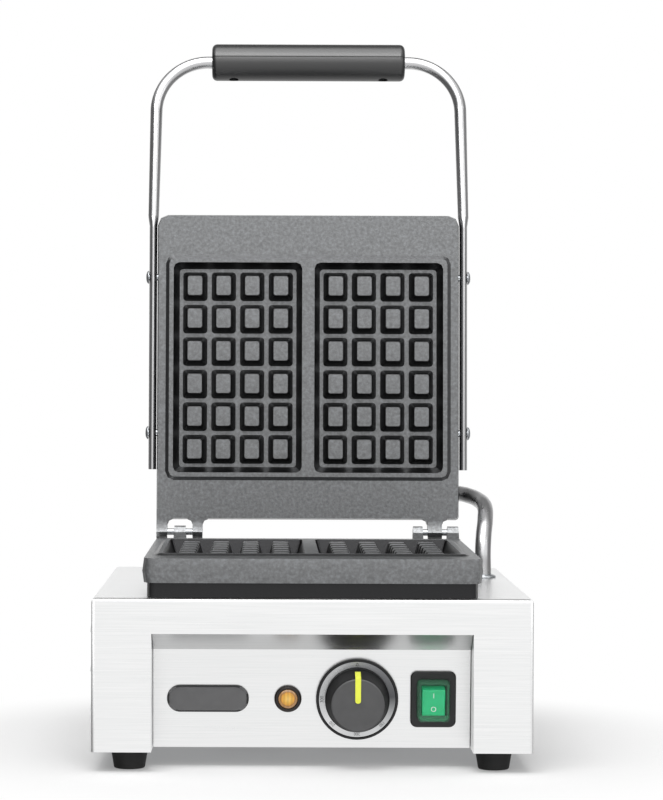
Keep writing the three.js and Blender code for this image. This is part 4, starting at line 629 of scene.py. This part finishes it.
# %% Which faces are pegs, and how bright each face is painted
pocket_x, pocket_y, pocket_half, pitch_x, pitch_y = 54.85, -127.875, (45.6, 77.3), 22.3, 25.45
def is_peg(corners, normal):
    """Whether a face of the pattern belongs to a peg's side or top."""
    inside = all(abs(abs(x) - pocket_x) < pocket_half[0] and abs(y - pocket_y) < pocket_half[1]
                 and z > pocket_floor - 0.1 for x, y, z in corners)
    return inside and max(z for x, y, z in corners) > pocket_floor + 0.1

wall_x, wall_y, wall_low, wall_high, tab_y, edge_z = 112, -235, -14, -0.5, -29, -0.4
def painted_light_share(centre, normal):
    """How bright a face of the pattern is painted, as painted light and shade: flats, outer walls and hinge
    tabs most of all.
    """
    is_outer_wall = abs(normal.z) < 0.5 and (abs(centre.x) > wall_x or centre.y < wall_y)
    if (is_outer_wall and wall_low < centre.z < wall_high) or centre.y > tab_y:
        return 1
    # The rounded upper edges of the frame are painted mostly dark, as painted shade.
    if centre.z > edge_z and abs(normal.z) < 0.985:
        return 0.2
    # Elsewhere a slope of 41 degrees is painted black as shade, and one of 18 degrees or less is painted
    # bright.
    return min(max((abs(normal.z) - 0.75) / 0.2, 0), 1)

# %% Taking the sharp pegs off
def without_pegs(piece):
    """Deletes the pegs of a pattern and closes the pocket floors, the last few by their open edges."""
    pick(piece, is_peg)
    bpy.ops.mesh.delete(type="FACE")
    bpy.ops.mesh.select_all(action="SELECT")
    bpy.ops.mesh.fill_holes(sides=12)
    bpy.ops.mesh.select_all(action="SELECT")
    bpy.ops.mesh.dissolve_limited(angle_limit=math.radians(0.4))
    bpy.ops.mesh.select_mode(type="EDGE")
    bpy.ops.mesh.select_all(action="DESELECT")
    bpy.ops.mesh.select_non_manifold(
        use_wire=False, use_multi_face=False, use_non_contiguous=False, use_verts=False)
    bpy.ops.mesh.fill(use_beauty=False)
    bpy.ops.mesh.select_mode(type="VERT")
    bpy.ops.object.mode_set(mode="OBJECT")

# %% Plates with rounded pegs
def plate_piece(node, name, pattern):
    """A cast plate with rounded pegs, drawn in its pattern's own axes and then put in place."""
    piece = from_solid(node, name)
    piece.data.transform(pattern.inverted())
    without_pegs(piece)
    eased(piece, 0.7, limit=24, smooth=35)
    pegs = [copy_of(peg, f"{name}_peg", shift(
                side * pocket_x + (column - 1.5) * pitch_x, pocket_y + (row - 2.5) * pitch_y, 0))
            for side in (-1, 1) for column in range(4) for row in range(6)]
    only(piece)
    for each in pegs:
        each.select_set(True)
    bpy.ops.object.join()
    # Each face's painted light and shade is stored on its corners.
    painted_light = piece.data.attributes.new("painted_light", "FLOAT_COLOR", "CORNER")
    for face in piece.data.polygons:
        share = painted_light_share(face.center / MM, face.normal)
        for corner in face.loop_indices:
            painted_light.data[corner].color = (share, share, share, 1)
    piece.data.transform(pattern)
    return piece

for node, name, pattern, body in (
    ("lower_plate", "cast_lower_plate", lower_pattern, "base"),
    ("upper_plate", "cast_upper_plate", upper_pattern, "lid"),
):
    casting = fit(plate_piece(node, name, pattern), cast, body, node)
    print(name, "faces:", len(casting.data.polygons))
bpy.data.objects.remove(peg)

# %% [markdown]
# ## Hinge pins
# Two short ground pins join the tabs of the plates. Their ends are chamfered so that they can be driven
# in, so a circle is extruded through four levels, with the outer two smaller.

# %% Hinge pins
pin_radius, pin_chamfer = 2.5, 0.6
for side, start, end in (("left", -117.05, -81.95), ("right", 81.75, 116.85)):
    pin = eased(turned(f"ground_hinge_pin_{side}", [
        (pin_radius - pin_chamfer, start), (pin_radius, start + pin_chamfer),
        (pin_radius, end - pin_chamfer), (pin_radius - pin_chamfer, end)], 32), 0)
    fit(pin, zinc, "base", f"hinge_pin_{side}", place=shift(0, hinge_y, hinge_z) @ spin(90, "Y"))
print("pins: 2")

# %% [markdown]
# ## Feet
# Each foot is a moulded rubber cone with a deep hole for its screw, so a pan-head screw never touches
# the worktop. Foot and screw are each modelled once, ring by ring from the hole outwards and back, and
# copied to the four corners.

# %% Feet
foot = eased(turned("moulded_foot", [
    (2.3, 13.7), (12.85, 13.7), (12.85, 12.6), (10.9, 0.9), (10.2, 0), (5.2, 0), (5.2, 7.4), (2.3, 7.4),
    (2.3, 13.7)], 64), 0.4)
foot_screw = eased(turned("pan_head_screw", [
    (2.0, 24.5), (2.0, 7.1), (4.2, 7.1), (4.2, 6.0), (3.4, 4.9), (1.6, 4.5), (1.2, 5.6)], 40), 0.15)
for row, y in (("front", -137.0), ("rear", 119.0)):
    for side, x in (("left", -127.0), ("right", 127.0)):
        corner = f"{row}_{side}"
        fit(copy_of(foot, f"moulded_foot_{corner}", shift(x, y, 0)), rubber, "base", f"foot_{corner}")
        fit(copy_of(foot_screw, f"pan_head_screw_{corner}", shift(x, y, 0)), zinc, "base",
            f"foot_screw_{corner}")
bpy.data.objects.remove(foot)
bpy.data.objects.remove(foot_screw)
print("feet: 4, screws: 4")

# %% [markdown]
# ## Badge plate
# A pill-shaped plate with a low rim, left bare. The plane's corners are rounded until the ends are
# half circles, and the middle is drawn in and pushed back a little to leave the rim standing.

# %% Badge plate
def on_panel(x):
    """The place of a control on the tilted panel."""
    return panel_front @ shift(x, 0, 0)

badge_place = on_panel(-72.393)
field_x, field_y, field_z = 26.8, 8.2, 1.1
badge = stacked("bare_badge", [
    (57, 19, 0.3), (57, 19, 1.1), (56.2, 18.2, 1.5), (54.6, 16.6, 1.5), (54.0, 16.0, 1.15)],
    corner=9.2, corner_steps=12)
fit(eased(badge, 0, smooth=25), badge_grey, "base", "badge_plate", place=badge_place)
refinish(badge, black, badge_place,
         lambda at: abs(at.x) > field_x or abs(at.y) > field_y or at.z < field_z)
print("badge faces:", len(badge.data.polygons))

# %% [markdown]
# ## Pilot lamp
# A black bezel with a long threaded barrel holds an amber lens. Both are turned shapes. The lens is
# a low dome that stands a little prouder than its bezel, with a ring every twelve degrees.

# %% Pilot lamp
bezel = turned("moulded_lamp_bezel", [
    (5.4, -27), (6.2, -26.2), (6.2, 0.3), (9.5, 0.3), (9.5, 1.5), (8.4, 2.9), (7.1, 2.9), (7.1, 1.6)])
fit(eased(bezel, 0.25), bakelite, "base", "lamp_bezel", place=on_panel(lamp_x))
lens_radius, lens_seat, lens_rise = 6.8, 2.6, 1.8
dome = [(lens_radius * math.cos(a), lens_seat + lens_rise * math.sin(a))
        for a in map(math.radians, range(0, 90, 12))]
lens = turned("amber_lamp_lens", [(lens_radius, 1.9)] + dome, 48)
fit(eased(lens, 0), amber, "base", "lamp_lens", place=on_panel(lamp_x))
print("lens faces:", len(lens.data.polygons))

# %% [markdown]
# ## Dial
# The dial is a turned disc with a hole for the thermostat's bush and two sunk holes for its screws. The
# edge stands up as a thin dark rim. Its marks are printed: 0 at the top, and the temperatures from half
# past four to nine o'clock, each fifty degrees on one eighth of a turn.

# %% Dial plate
dial_place, rim_start = on_panel(dial_x), 26.7
dial = turned("turned_dial", [
    (5.5, 0.3), (28.6, 0.3), (28.6, 2.7), (28.2, 3.3), (27.1, 3.3), (26.6, 2.8), (5.5, 2.8), (5.5, 0.3)], 128)
eased(dial, 0, smooth=30)
for screw_x in (-14, 14):
    drilled(dial, turned("sink", [(3.7, 1.3), (3.7, 4)], 24), shift(screw_x, 0, 0))
fit(dial, turned_face, "base", "dial_plate", place=dial_place)
refinish(dial, anodised, dial_place, lambda at: math.hypot(at.x, at.y) > rim_start)
print("dial faces:", len(dial.data.polygons))

# %% Printed marks
def printed(name, text, size, place, material, body, thickness=0.02):
    """A word as a thin printed layer: text, made a mesh, then put in place."""
    curve = bpy.data.curves.new(name, "FONT")
    curve.body, curve.size = text, size * MM
    curve.align_x, curve.align_y = "CENTER", "CENTER"
    curve.extrude = thickness * MM
    mark = bpy.data.objects.new(name, curve)
    scene.collection.objects.link(mark)
    only(mark)
    bpy.ops.object.convert(target="MESH")
    mark = welded(bpy.context.object)
    mark.data.transform(place)
    mark.data.materials.clear()
    mark.data.materials.append(material)
    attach(mark, body)

mark_radius, dial_face = 24.45, 2.83
dial_marks = (0, "0", 3.4), (135, "150", 2.9), (180, "200", 2.9), (225, "250", 2.9), (270, "300", 3.3)
for clock, text, size in dial_marks:
    mark_place = dial_place @ shift(0, 0, dial_face) @ spin(-clock, "Z") @ shift(0, mark_radius, 0)
    printed(f"dial_mark_{text}", text, size, mark_place, black_ink, "base")
print("dial marks:", len(dial_marks))

# %% [markdown]
# ## Knob and pointer
# The knob is a moulded cup with a skirt and a lower cap. It starts as the ceiling of its own hollow,
# goes down to the edge and up outside, so that it has a wall. The pointer is a lime bar that lies on
# the cap and bends down over the side. It starts as a cube. Its end face is extruded past the cap, the
# new piece's underside is extruded down the slope, and the inner end is rounded.

# %% Knob
cap_edge_z = 22.3
knob = turned("moulded_knob", [
    (18.2, 20.0), (20.0, 4.2), (22.4, 4.2), (22.4, 7.0), (21.8, 7.9), (19.15, 20.9), (18.55, 22.2),
    (17.6, 22.8), (17.1, 22.6)], 96)
fit(eased(knob, 0.3, smooth=32), grey, "knob", "thermostat_knob", place=dial_place)
# The knob's side below the cap's edge takes the darker black as painted shade; the cap keeps the grey.
refinish(knob, black_painted_shade, dial_place, lambda at: at.z <= cap_edge_z)
print("knob faces:", len(knob.data.polygons))

# %% Pointer bar
bar_width, bar_length, bar_thickness, bar_y, bar_z = 4, 16.8, 1.1, 9.9, 22.85
bar_start, bar_end = bar_y - bar_length / 2, bar_y + bar_length / 2
bpy.ops.object.select_all(action="DESELECT")
bpy.ops.mesh.primitive_cube_add(size=1)
pointer = bpy.context.object
pointer.name = pointer.data.name = "lime_pointer"
bpy.ops.object.mode_set(mode="EDIT")
bpy.ops.transform.resize(
    value=(bar_width * MM, bar_length * MM, bar_thickness * MM), center_override=(0, 0, 0))
bpy.ops.transform.translate(value=(0, bar_y * MM, bar_z * MM))
pick(pointer, lambda corners, normal: normal.y > 0.9)
bpy.ops.mesh.extrude_region_move(TRANSFORM_OT_translate={"value": (0, 1.3 * MM, 0)})
pick(pointer, lambda corners, normal: normal.z < -0.9 and min(at.y for at in corners) > bar_end - 0.1)
bpy.ops.mesh.extrude_region_move(TRANSFORM_OT_translate={"value": (0, 2.2 * MM, -9.8 * MM)})
bpy.ops.object.mode_set(mode="OBJECT")
print("pointer faces:", len(pointer.data.polygons))

# %% Pointer's round end
def is_end_edge(edge):
    """Whether an edge is one of the two upright ones at the bar's inner end."""
    one, two = (pointer.data.vertices[i].co / MM for i in edge.vertices)
    return max(one.y, two.y) < bar_start + 0.1 and abs(one.z - two.z) > 0.5

only(pointer)
bpy.context.tool_settings.mesh_select_mode = (False, True, False)
pointer.data.vertices.foreach_set("select", [False] * len(pointer.data.vertices))
pointer.data.polygons.foreach_set("select", [False] * len(pointer.data.polygons))
for edge in pointer.data.edges:
    edge.select = is_end_edge(edge)
print("rounded pointer edges:", sum(edge.select for edge in pointer.data.edges))
bpy.ops.object.mode_set(mode="EDIT")
bpy.ops.mesh.bevel(affect="EDGES", offset=1.9 * MM, segments=8)
bpy.ops.mesh.select_all(action="SELECT")
bpy.ops.mesh.normals_make_consistent(inside=False)
bpy.ops.object.mode_set(mode="OBJECT")
fit(eased(pointer, 0.25), lime, "knob", "knob_pointer", place=dial_place)

# %% [markdown]
# ## Switch
# The black frame and the body behind the panel are one moulding with a well for the rocker. The cover
# is a hollow cap, made like the knob from its ceiling outwards. The rocker is two faces that meet in a
# shallow valley, tipped seven degrees about its pins.

# %% Switch frame and body
switch_place = on_panel(switch_x)
frame_piece = stacked("moulded_switch_body", [
    (24.6, 32, -27.8), (24.6, 32, 0.3), (31.7, 39.6, 0.3), (31.7, 39.6, 1.7), (30.5, 38.4, 2.5),
    (23.4, 28.8, 2.5), (23.4, 28.8, 1.1), (17.4, 21.2, 1.1), (17.4, 21.2, -11.7)], corner=3.6)
fit(eased(frame_piece, 0.2), black, "base", "switch_body", place=switch_place)
print("switch body faces:", len(frame_piece.data.polygons))

# %% Switch cover's shape
cover_piece = stacked("clear_switch_cover", [
    (19.6, 25.0, 13.3), (20.4, 25.8, 1.45), (22.6, 28.0, 1.45), (21.8, 27.2, 12.6), (20.6, 26.0, 14.1),
    (18.6, 24.0, 14.5), (17.6, 21.0, 14.0)], corner=2.6)
fit(eased(cover_piece, 0, smooth=50), clear, "base", "switch_boot", place=switch_place)
print("cover faces:", len(cover_piece.data.polygons))

# %% Rocker and its marks
rocker = from_solid("switch_rocker", "moulded_rocker")
fit(eased(rocker, 0.7, segments=3, limit=40), green, "rocker", "switch_rocker")
rocker_tilt, valley, pivot, mark_y = 7, 7.1, 1.5, 4.9
tipped = switch_place @ shift(0, 0, -pivot) @ spin(rocker_tilt, "X") @ shift(0, 0, pivot)
mark_rise = valley + mark_y * math.tan(math.radians(rocker_tilt)) + 0.05
for text, side, size in (("I", 1, 5.4), ("O", -1, 5.0)):
    mark_place = tipped @ shift(0, side * mark_y, mark_rise) @ spin(side * rocker_tilt, "X")
    printed(f"rocker_mark_{text}", text, size, mark_place, white_ink, "rocker")
print("rocker faces:", len(rocker.data.polygons))

# %% [markdown]
# ## Handle
# The handle is one ten-millimetre rod, bent to a U in a jig and pressed flat where it is bolted to the
# lid. A curve draws its middle line, with an arc at each bend. It becomes a mesh, and each ring of the
# leg is squeezed across and widened along, as a press does. A mirror then makes the right half from the
# left one, so that both legs are the same.

# %% Arcs in a line
def bent(points, radii, step):
    """The points of a line in mm whose corners are replaced by arcs, with a point every few degrees."""
    points = [Vector(point) for point in points]
    line = [points[0]]
    for before, corner, after, radius in zip(points, points[1:], points[2:], radii):
        back, ahead = (before - corner).normalized(), (after - corner).normalized()
        turn = math.pi - back.angle(ahead)
        setback = radius * math.tan(turn / 2)
        centre = corner + (back + ahead).normalized() * (radius / math.cos(turn / 2))
        arm = corner + back * setback - centre
        axis = back.cross(ahead).normalized()
        steps = max(3, round(math.degrees(turn) / step))
        line += [centre + Matrix.Rotation(-turn * i / steps, 3, axis) @ arm for i in range(steps + 1)]
    return line + [points[-1]]

# %% A bar along a line
def swept(name, points, radius, resolution, spline_type="POLY"):
    """A round bar along points in mm: a curve with a bevel, made a mesh."""
    curve = bpy.data.curves.new(name, "CURVE")
    curve.dimensions, curve.bevel_depth, curve.bevel_resolution = "3D", radius * MM, resolution
    curve.use_fill_caps = True
    spline = curve.splines.new(spline_type)
    if spline_type == "POLY":
        spline.points.add(len(points) - 1)
        for target, point in zip(spline.points, points):
            target.co = (*(Vector(point) * MM), 1)
    else:
        curve.resolution_u = 10
        spline.bezier_points.add(len(points) - 1)
        for target, point in zip(spline.bezier_points, points):
            target.co = Vector(point) * MM
            target.handle_left_type = target.handle_right_type = "AUTO"
    bar = bpy.data.objects.new(name, curve)
    scene.collection.objects.link(bar)
    only(bar)
    bpy.ops.object.convert(target="MESH")
    return bpy.context.object

# %% Rod
leg_x, leg_y, leg_end, flat_end, merge_length, knee_z = 121.15, 7.5, 48.4, 238.45, 12, 243.05
grip_x, grip_y, grip_z, knee_radius, shoulder_radius = 119.55, 33.62, 371.45, 30, 41
rod_radius, rod_resolution, flat_across, flat_along = 4.8, 6, 3.1, 7.0
arcs = bent([(-leg_x, leg_y, leg_end), (-leg_x, leg_y, knee_z), (-grip_x, grip_y, grip_z), (0, grip_y, grip_z)],
            [knee_radius, shoulder_radius], step=2)
leg_stops = [leg_end, leg_end + 2, flat_end - 2, flat_end, flat_end + 1.2]
middle_line = [Vector((-leg_x, leg_y, z)) for z in leg_stops] + arcs[1:]
rod = swept("polished_handle_rod", middle_line, rod_radius, rod_resolution)
ring_size = 2 * rod_resolution + 4
for first in range(0, len(rod.data.vertices), ring_size):
    ring = rod.data.vertices[first:first + ring_size]
    centre = sum((vertex.co for vertex in ring), Vector()) / ring_size
    round_share = min(max((centre.z / MM - flat_end) / merge_length, 0), 1)
    across, along = (half + round_share * (rod_radius - half) for half in (flat_across, flat_along))
    for vertex in ring:
        offset = vertex.co - centre
        vertex.co = centre + Vector((offset.x * across / rod_radius, offset.y * along / rod_radius, offset.z))
print("rod rings:", len(middle_line), "of", ring_size, "points")

# %% The rod's second leg
welded(rod)
pick(rod, lambda corners, normal: min(corner.x for corner in corners) > -0.1)
bpy.ops.mesh.delete(type="FACE")
bpy.ops.object.mode_set(mode="OBJECT")
second_leg = rod.modifiers.new("second leg", "MIRROR")
second_leg.use_axis[0], second_leg.merge_threshold = True, 0.1 * MM
bpy.ops.object.modifier_apply(modifier=second_leg.name)
print("rod faces:", len(rod.data.polygons))

# %% Bolt holes and bolts
bolt_x = 117.75
bolt_places = [(f"handle_bolt_{side_name}_{level}",
                lid_place @ shift(side * bolt_x, leg_y, z) @ spin(side * 90, "Y"))
               for side_name, side in (("left", -1), ("right", 1))
               for level, z in (("lower", 77), ("upper", 198.45))]
rod.data.transform(lid_place)
for _, place in bolt_places:
    drilled(rod, turned("hole", [(2.9, -1), (2.9, 8)], 24), place)
fit(eased(rod, 0.5, limit=50, smooth=50), polished, "lid", "handle_rod")

def screw(name, shank, start, seat, head, height, socket, socket_depth):
    """A screw with a low domed head and a hexagon socket, standing on its seat."""
    dome = [(head * math.cos(a), seat + height * math.sin(a)) for a in map(math.radians, range(0, 76, 15))]
    top = seat + height
    stem = [(shank - 0.4, start), (shank, start + 0.4), (shank, seat)]
    piece = turned(name, stem + dome + [(0.4, top)], 36)
    key = turned("key", [(socket, top - socket_depth), (socket, top + 1)], 6)
    return eased(drilled(piece, key), 0.12, limit=50)

bolt = screw("domed_handle_bolt", shank=2.6, start=-8, seat=6.8, head=5.2, height=2.2,
             socket=1.9, socket_depth=1.3)
for node, place in bolt_places:
    fit(copy_of(bolt, f"domed_{node}", place), zinc, "lid", node)
bpy.data.objects.remove(bolt)
print("handle bolts:", len(bolt_places))

# %% [markdown]
# ## Grip
# Two moulded half shells clamp round the rod, and two screws hold them from below. The whole grip is
# turned first, then it is cut along its middle, so that the seam runs round as on the real one. Each
# screw sits in a well in the lower half.

# %% Grip halves
grip_place = lid_place @ shift(0, grip_y, grip_z) @ spin(-11.5, "X")
outer_radius, half_length, end_round, rod_hole, half_gap, well_x = 14.5, 76.25, 4, 5.1, 0.15, 59.05
arc_radius, arc_x = outer_radius - end_round, half_length - end_round
end_arc = [(arc_radius + end_round * math.sin(a), arc_x + end_round * math.cos(a))
           for a in map(math.radians, range(0, 91, 15))]
grip_rings = ([(rod_hole, -half_length)] + [(radius, -x) for radius, x in end_arc]
              + [(radius, x) for radius, x in reversed(end_arc)]
              + [(rod_hole, half_length), (rod_hole, -half_length)])
for name, side in (("outer", 1), ("inner", -1)):
    half = turned(f"moulded_grip_{name}", grip_rings, 64)
    half.data.transform(spin(90, "Y"))
    opened(half)
    bpy.ops.mesh.bisect(
        plane_co=(0, 0, side * half_gap * MM), plane_no=(0, 0, side), use_fill=True, clear_inner=True)
    bpy.ops.object.mode_set(mode="OBJECT")
    if name == "inner":
        for x in (-well_x, well_x):
            drilled(half, turned("well", [(3.7, -16), (3.7, -10.1)], 32), shift(x, 0, 0))
    fit(eased(half, 0.35, limit=50), grip_black, "lid", f"grip_{name}", place=grip_place)
    print(half.name, "faces:", len(half.data.polygons))

# %% Grip screws
grip_screw = screw("socket_grip_screw", shank=1.6, start=-9.8, seat=10.4, head=3.3, height=1.9,
                   socket=1.5, socket_depth=1.1)
for name, x in (("left", -well_x), ("right", well_x)):
    fit(copy_of(grip_screw, f"socket_grip_screw_{name}", grip_place @ shift(x, 0, 0) @ spin(180, "X")),
        zinc, "lid", f"grip_screw_{name}")
bpy.data.objects.remove(grip_screw)
print("grip screws: 2")

# %% [markdown]
# ## Back of the lid
# Four screws hold the sheet cover on the back of the upper casting. The conduit's fitting screws into
# the cover's right side. It is a turned sleeve with a flange.

# %% Cover screws
cover_screw = screw("domed_cover_screw", shank=1.9, start=-6.5, seat=1.5, head=3.6, height=2.0,
                    socket=1.3, socket_depth=1.2)
cover_y, screw_x, low_z, high_z, cover_middle_z = 26.3, 103.6, 23.6, 233.2, 128
for number in range(1, 5):
    lowest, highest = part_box(f"lid_screw_{number}")
    middle = lid_place.inverted() @ ((Vector(lowest) + Vector(highest)) / 2) / MM
    x, z = math.copysign(screw_x, middle.x), low_z if middle.z < cover_middle_z else high_z
    fit(copy_of(cover_screw, f"domed_cover_screw_{number}", lid_place @ shift(x, cover_y, z) @ spin(-90, "X")),
        zinc, "lid", f"lid_screw_{number}")
bpy.data.objects.remove(cover_screw)
print("cover screws: 4")

# %% Conduit fitting
fitting_x, conduit_y, conduit_z = 90.52, 37, 30.5
fitting = turned("turned_conduit_fitting", [
    (4, 0), (8, 0), (8, 6.3), (7.5, 7), (7.2, 7), (7.2, 11.4), (6.7, 12), (6.3, 12), (6.3, 3), (4, 3),
    (4, 0)], 48)
fit(eased(fitting, 0.2), zinc, "lid", "conduit_nipple",
    place=lid_place @ shift(fitting_x, conduit_y, conduit_z) @ spin(90, "Y"))
print("fitting faces:", len(fitting.data.polygons))

# %% [markdown]
# ## Conduit
# The upper heater's wires run in a smooth metal hose. It leaves the housing's top straight up through a zinc
# plated ring, swings back over the hinge and enters the lid's cover from the right. It is a curve through
# points, with a round bevel. When the lid closes the real hose bends; here it keeps one shape, and its last
# points are set in the open lid's place.

# %% Conduit
housing_top = 120.3
foot_place = Vector((117.75, hinge_y, housing_top))
route = [foot_place + Vector(step) for step in (
    (15.3, -42.4, -3), (15.3, -42.4, 6), (15.1, -42, 17.5), (16, -36.5, 31), (18.3, -22, 43.7), (19, -5.5, 52),
    (15.6, 11.5, 56.4), (9, 26, 59.1))]
route += [lid_place @ (Vector((x, conduit_y, conduit_z)) * MM) / MM for x in (117.8, 105.8, 93.8)]
hose = welded(swept("smooth_metal_conduit", route, radius=6, resolution=5, spline_type="BEZIER"))
eased(hose, 0, smooth=50).data.materials.append(conduit_steel)
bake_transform(hose)
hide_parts("conduit")
print("conduit faces:", len(hose.data.polygons))

# %% Ring round the conduit, and cable gland
collar = turned("moulded_conduit_collar", [
    (6.3, 0.3), (9.6, 0.3), (9.6, 1.2), (8.8, 1.9), (6.9, 2.6), (6.3, 2.6), (6.3, 0.3)], 48)
fit(eased(collar, 0.2), zinc, "base", "conduit_collar", place=shift(route[0].x, route[0].y, housing_top))
# Its solid has the rubber slot, but up close the real ring is bright metal.
gland = eased(from_solid("cable_gland", "moulded_cable_gland"), 0.4)
fit(gland, black, "base", "cable_gland")
print("ring faces:", len(collar.data.polygons), "gland faces:", len(gland.data.polygons))
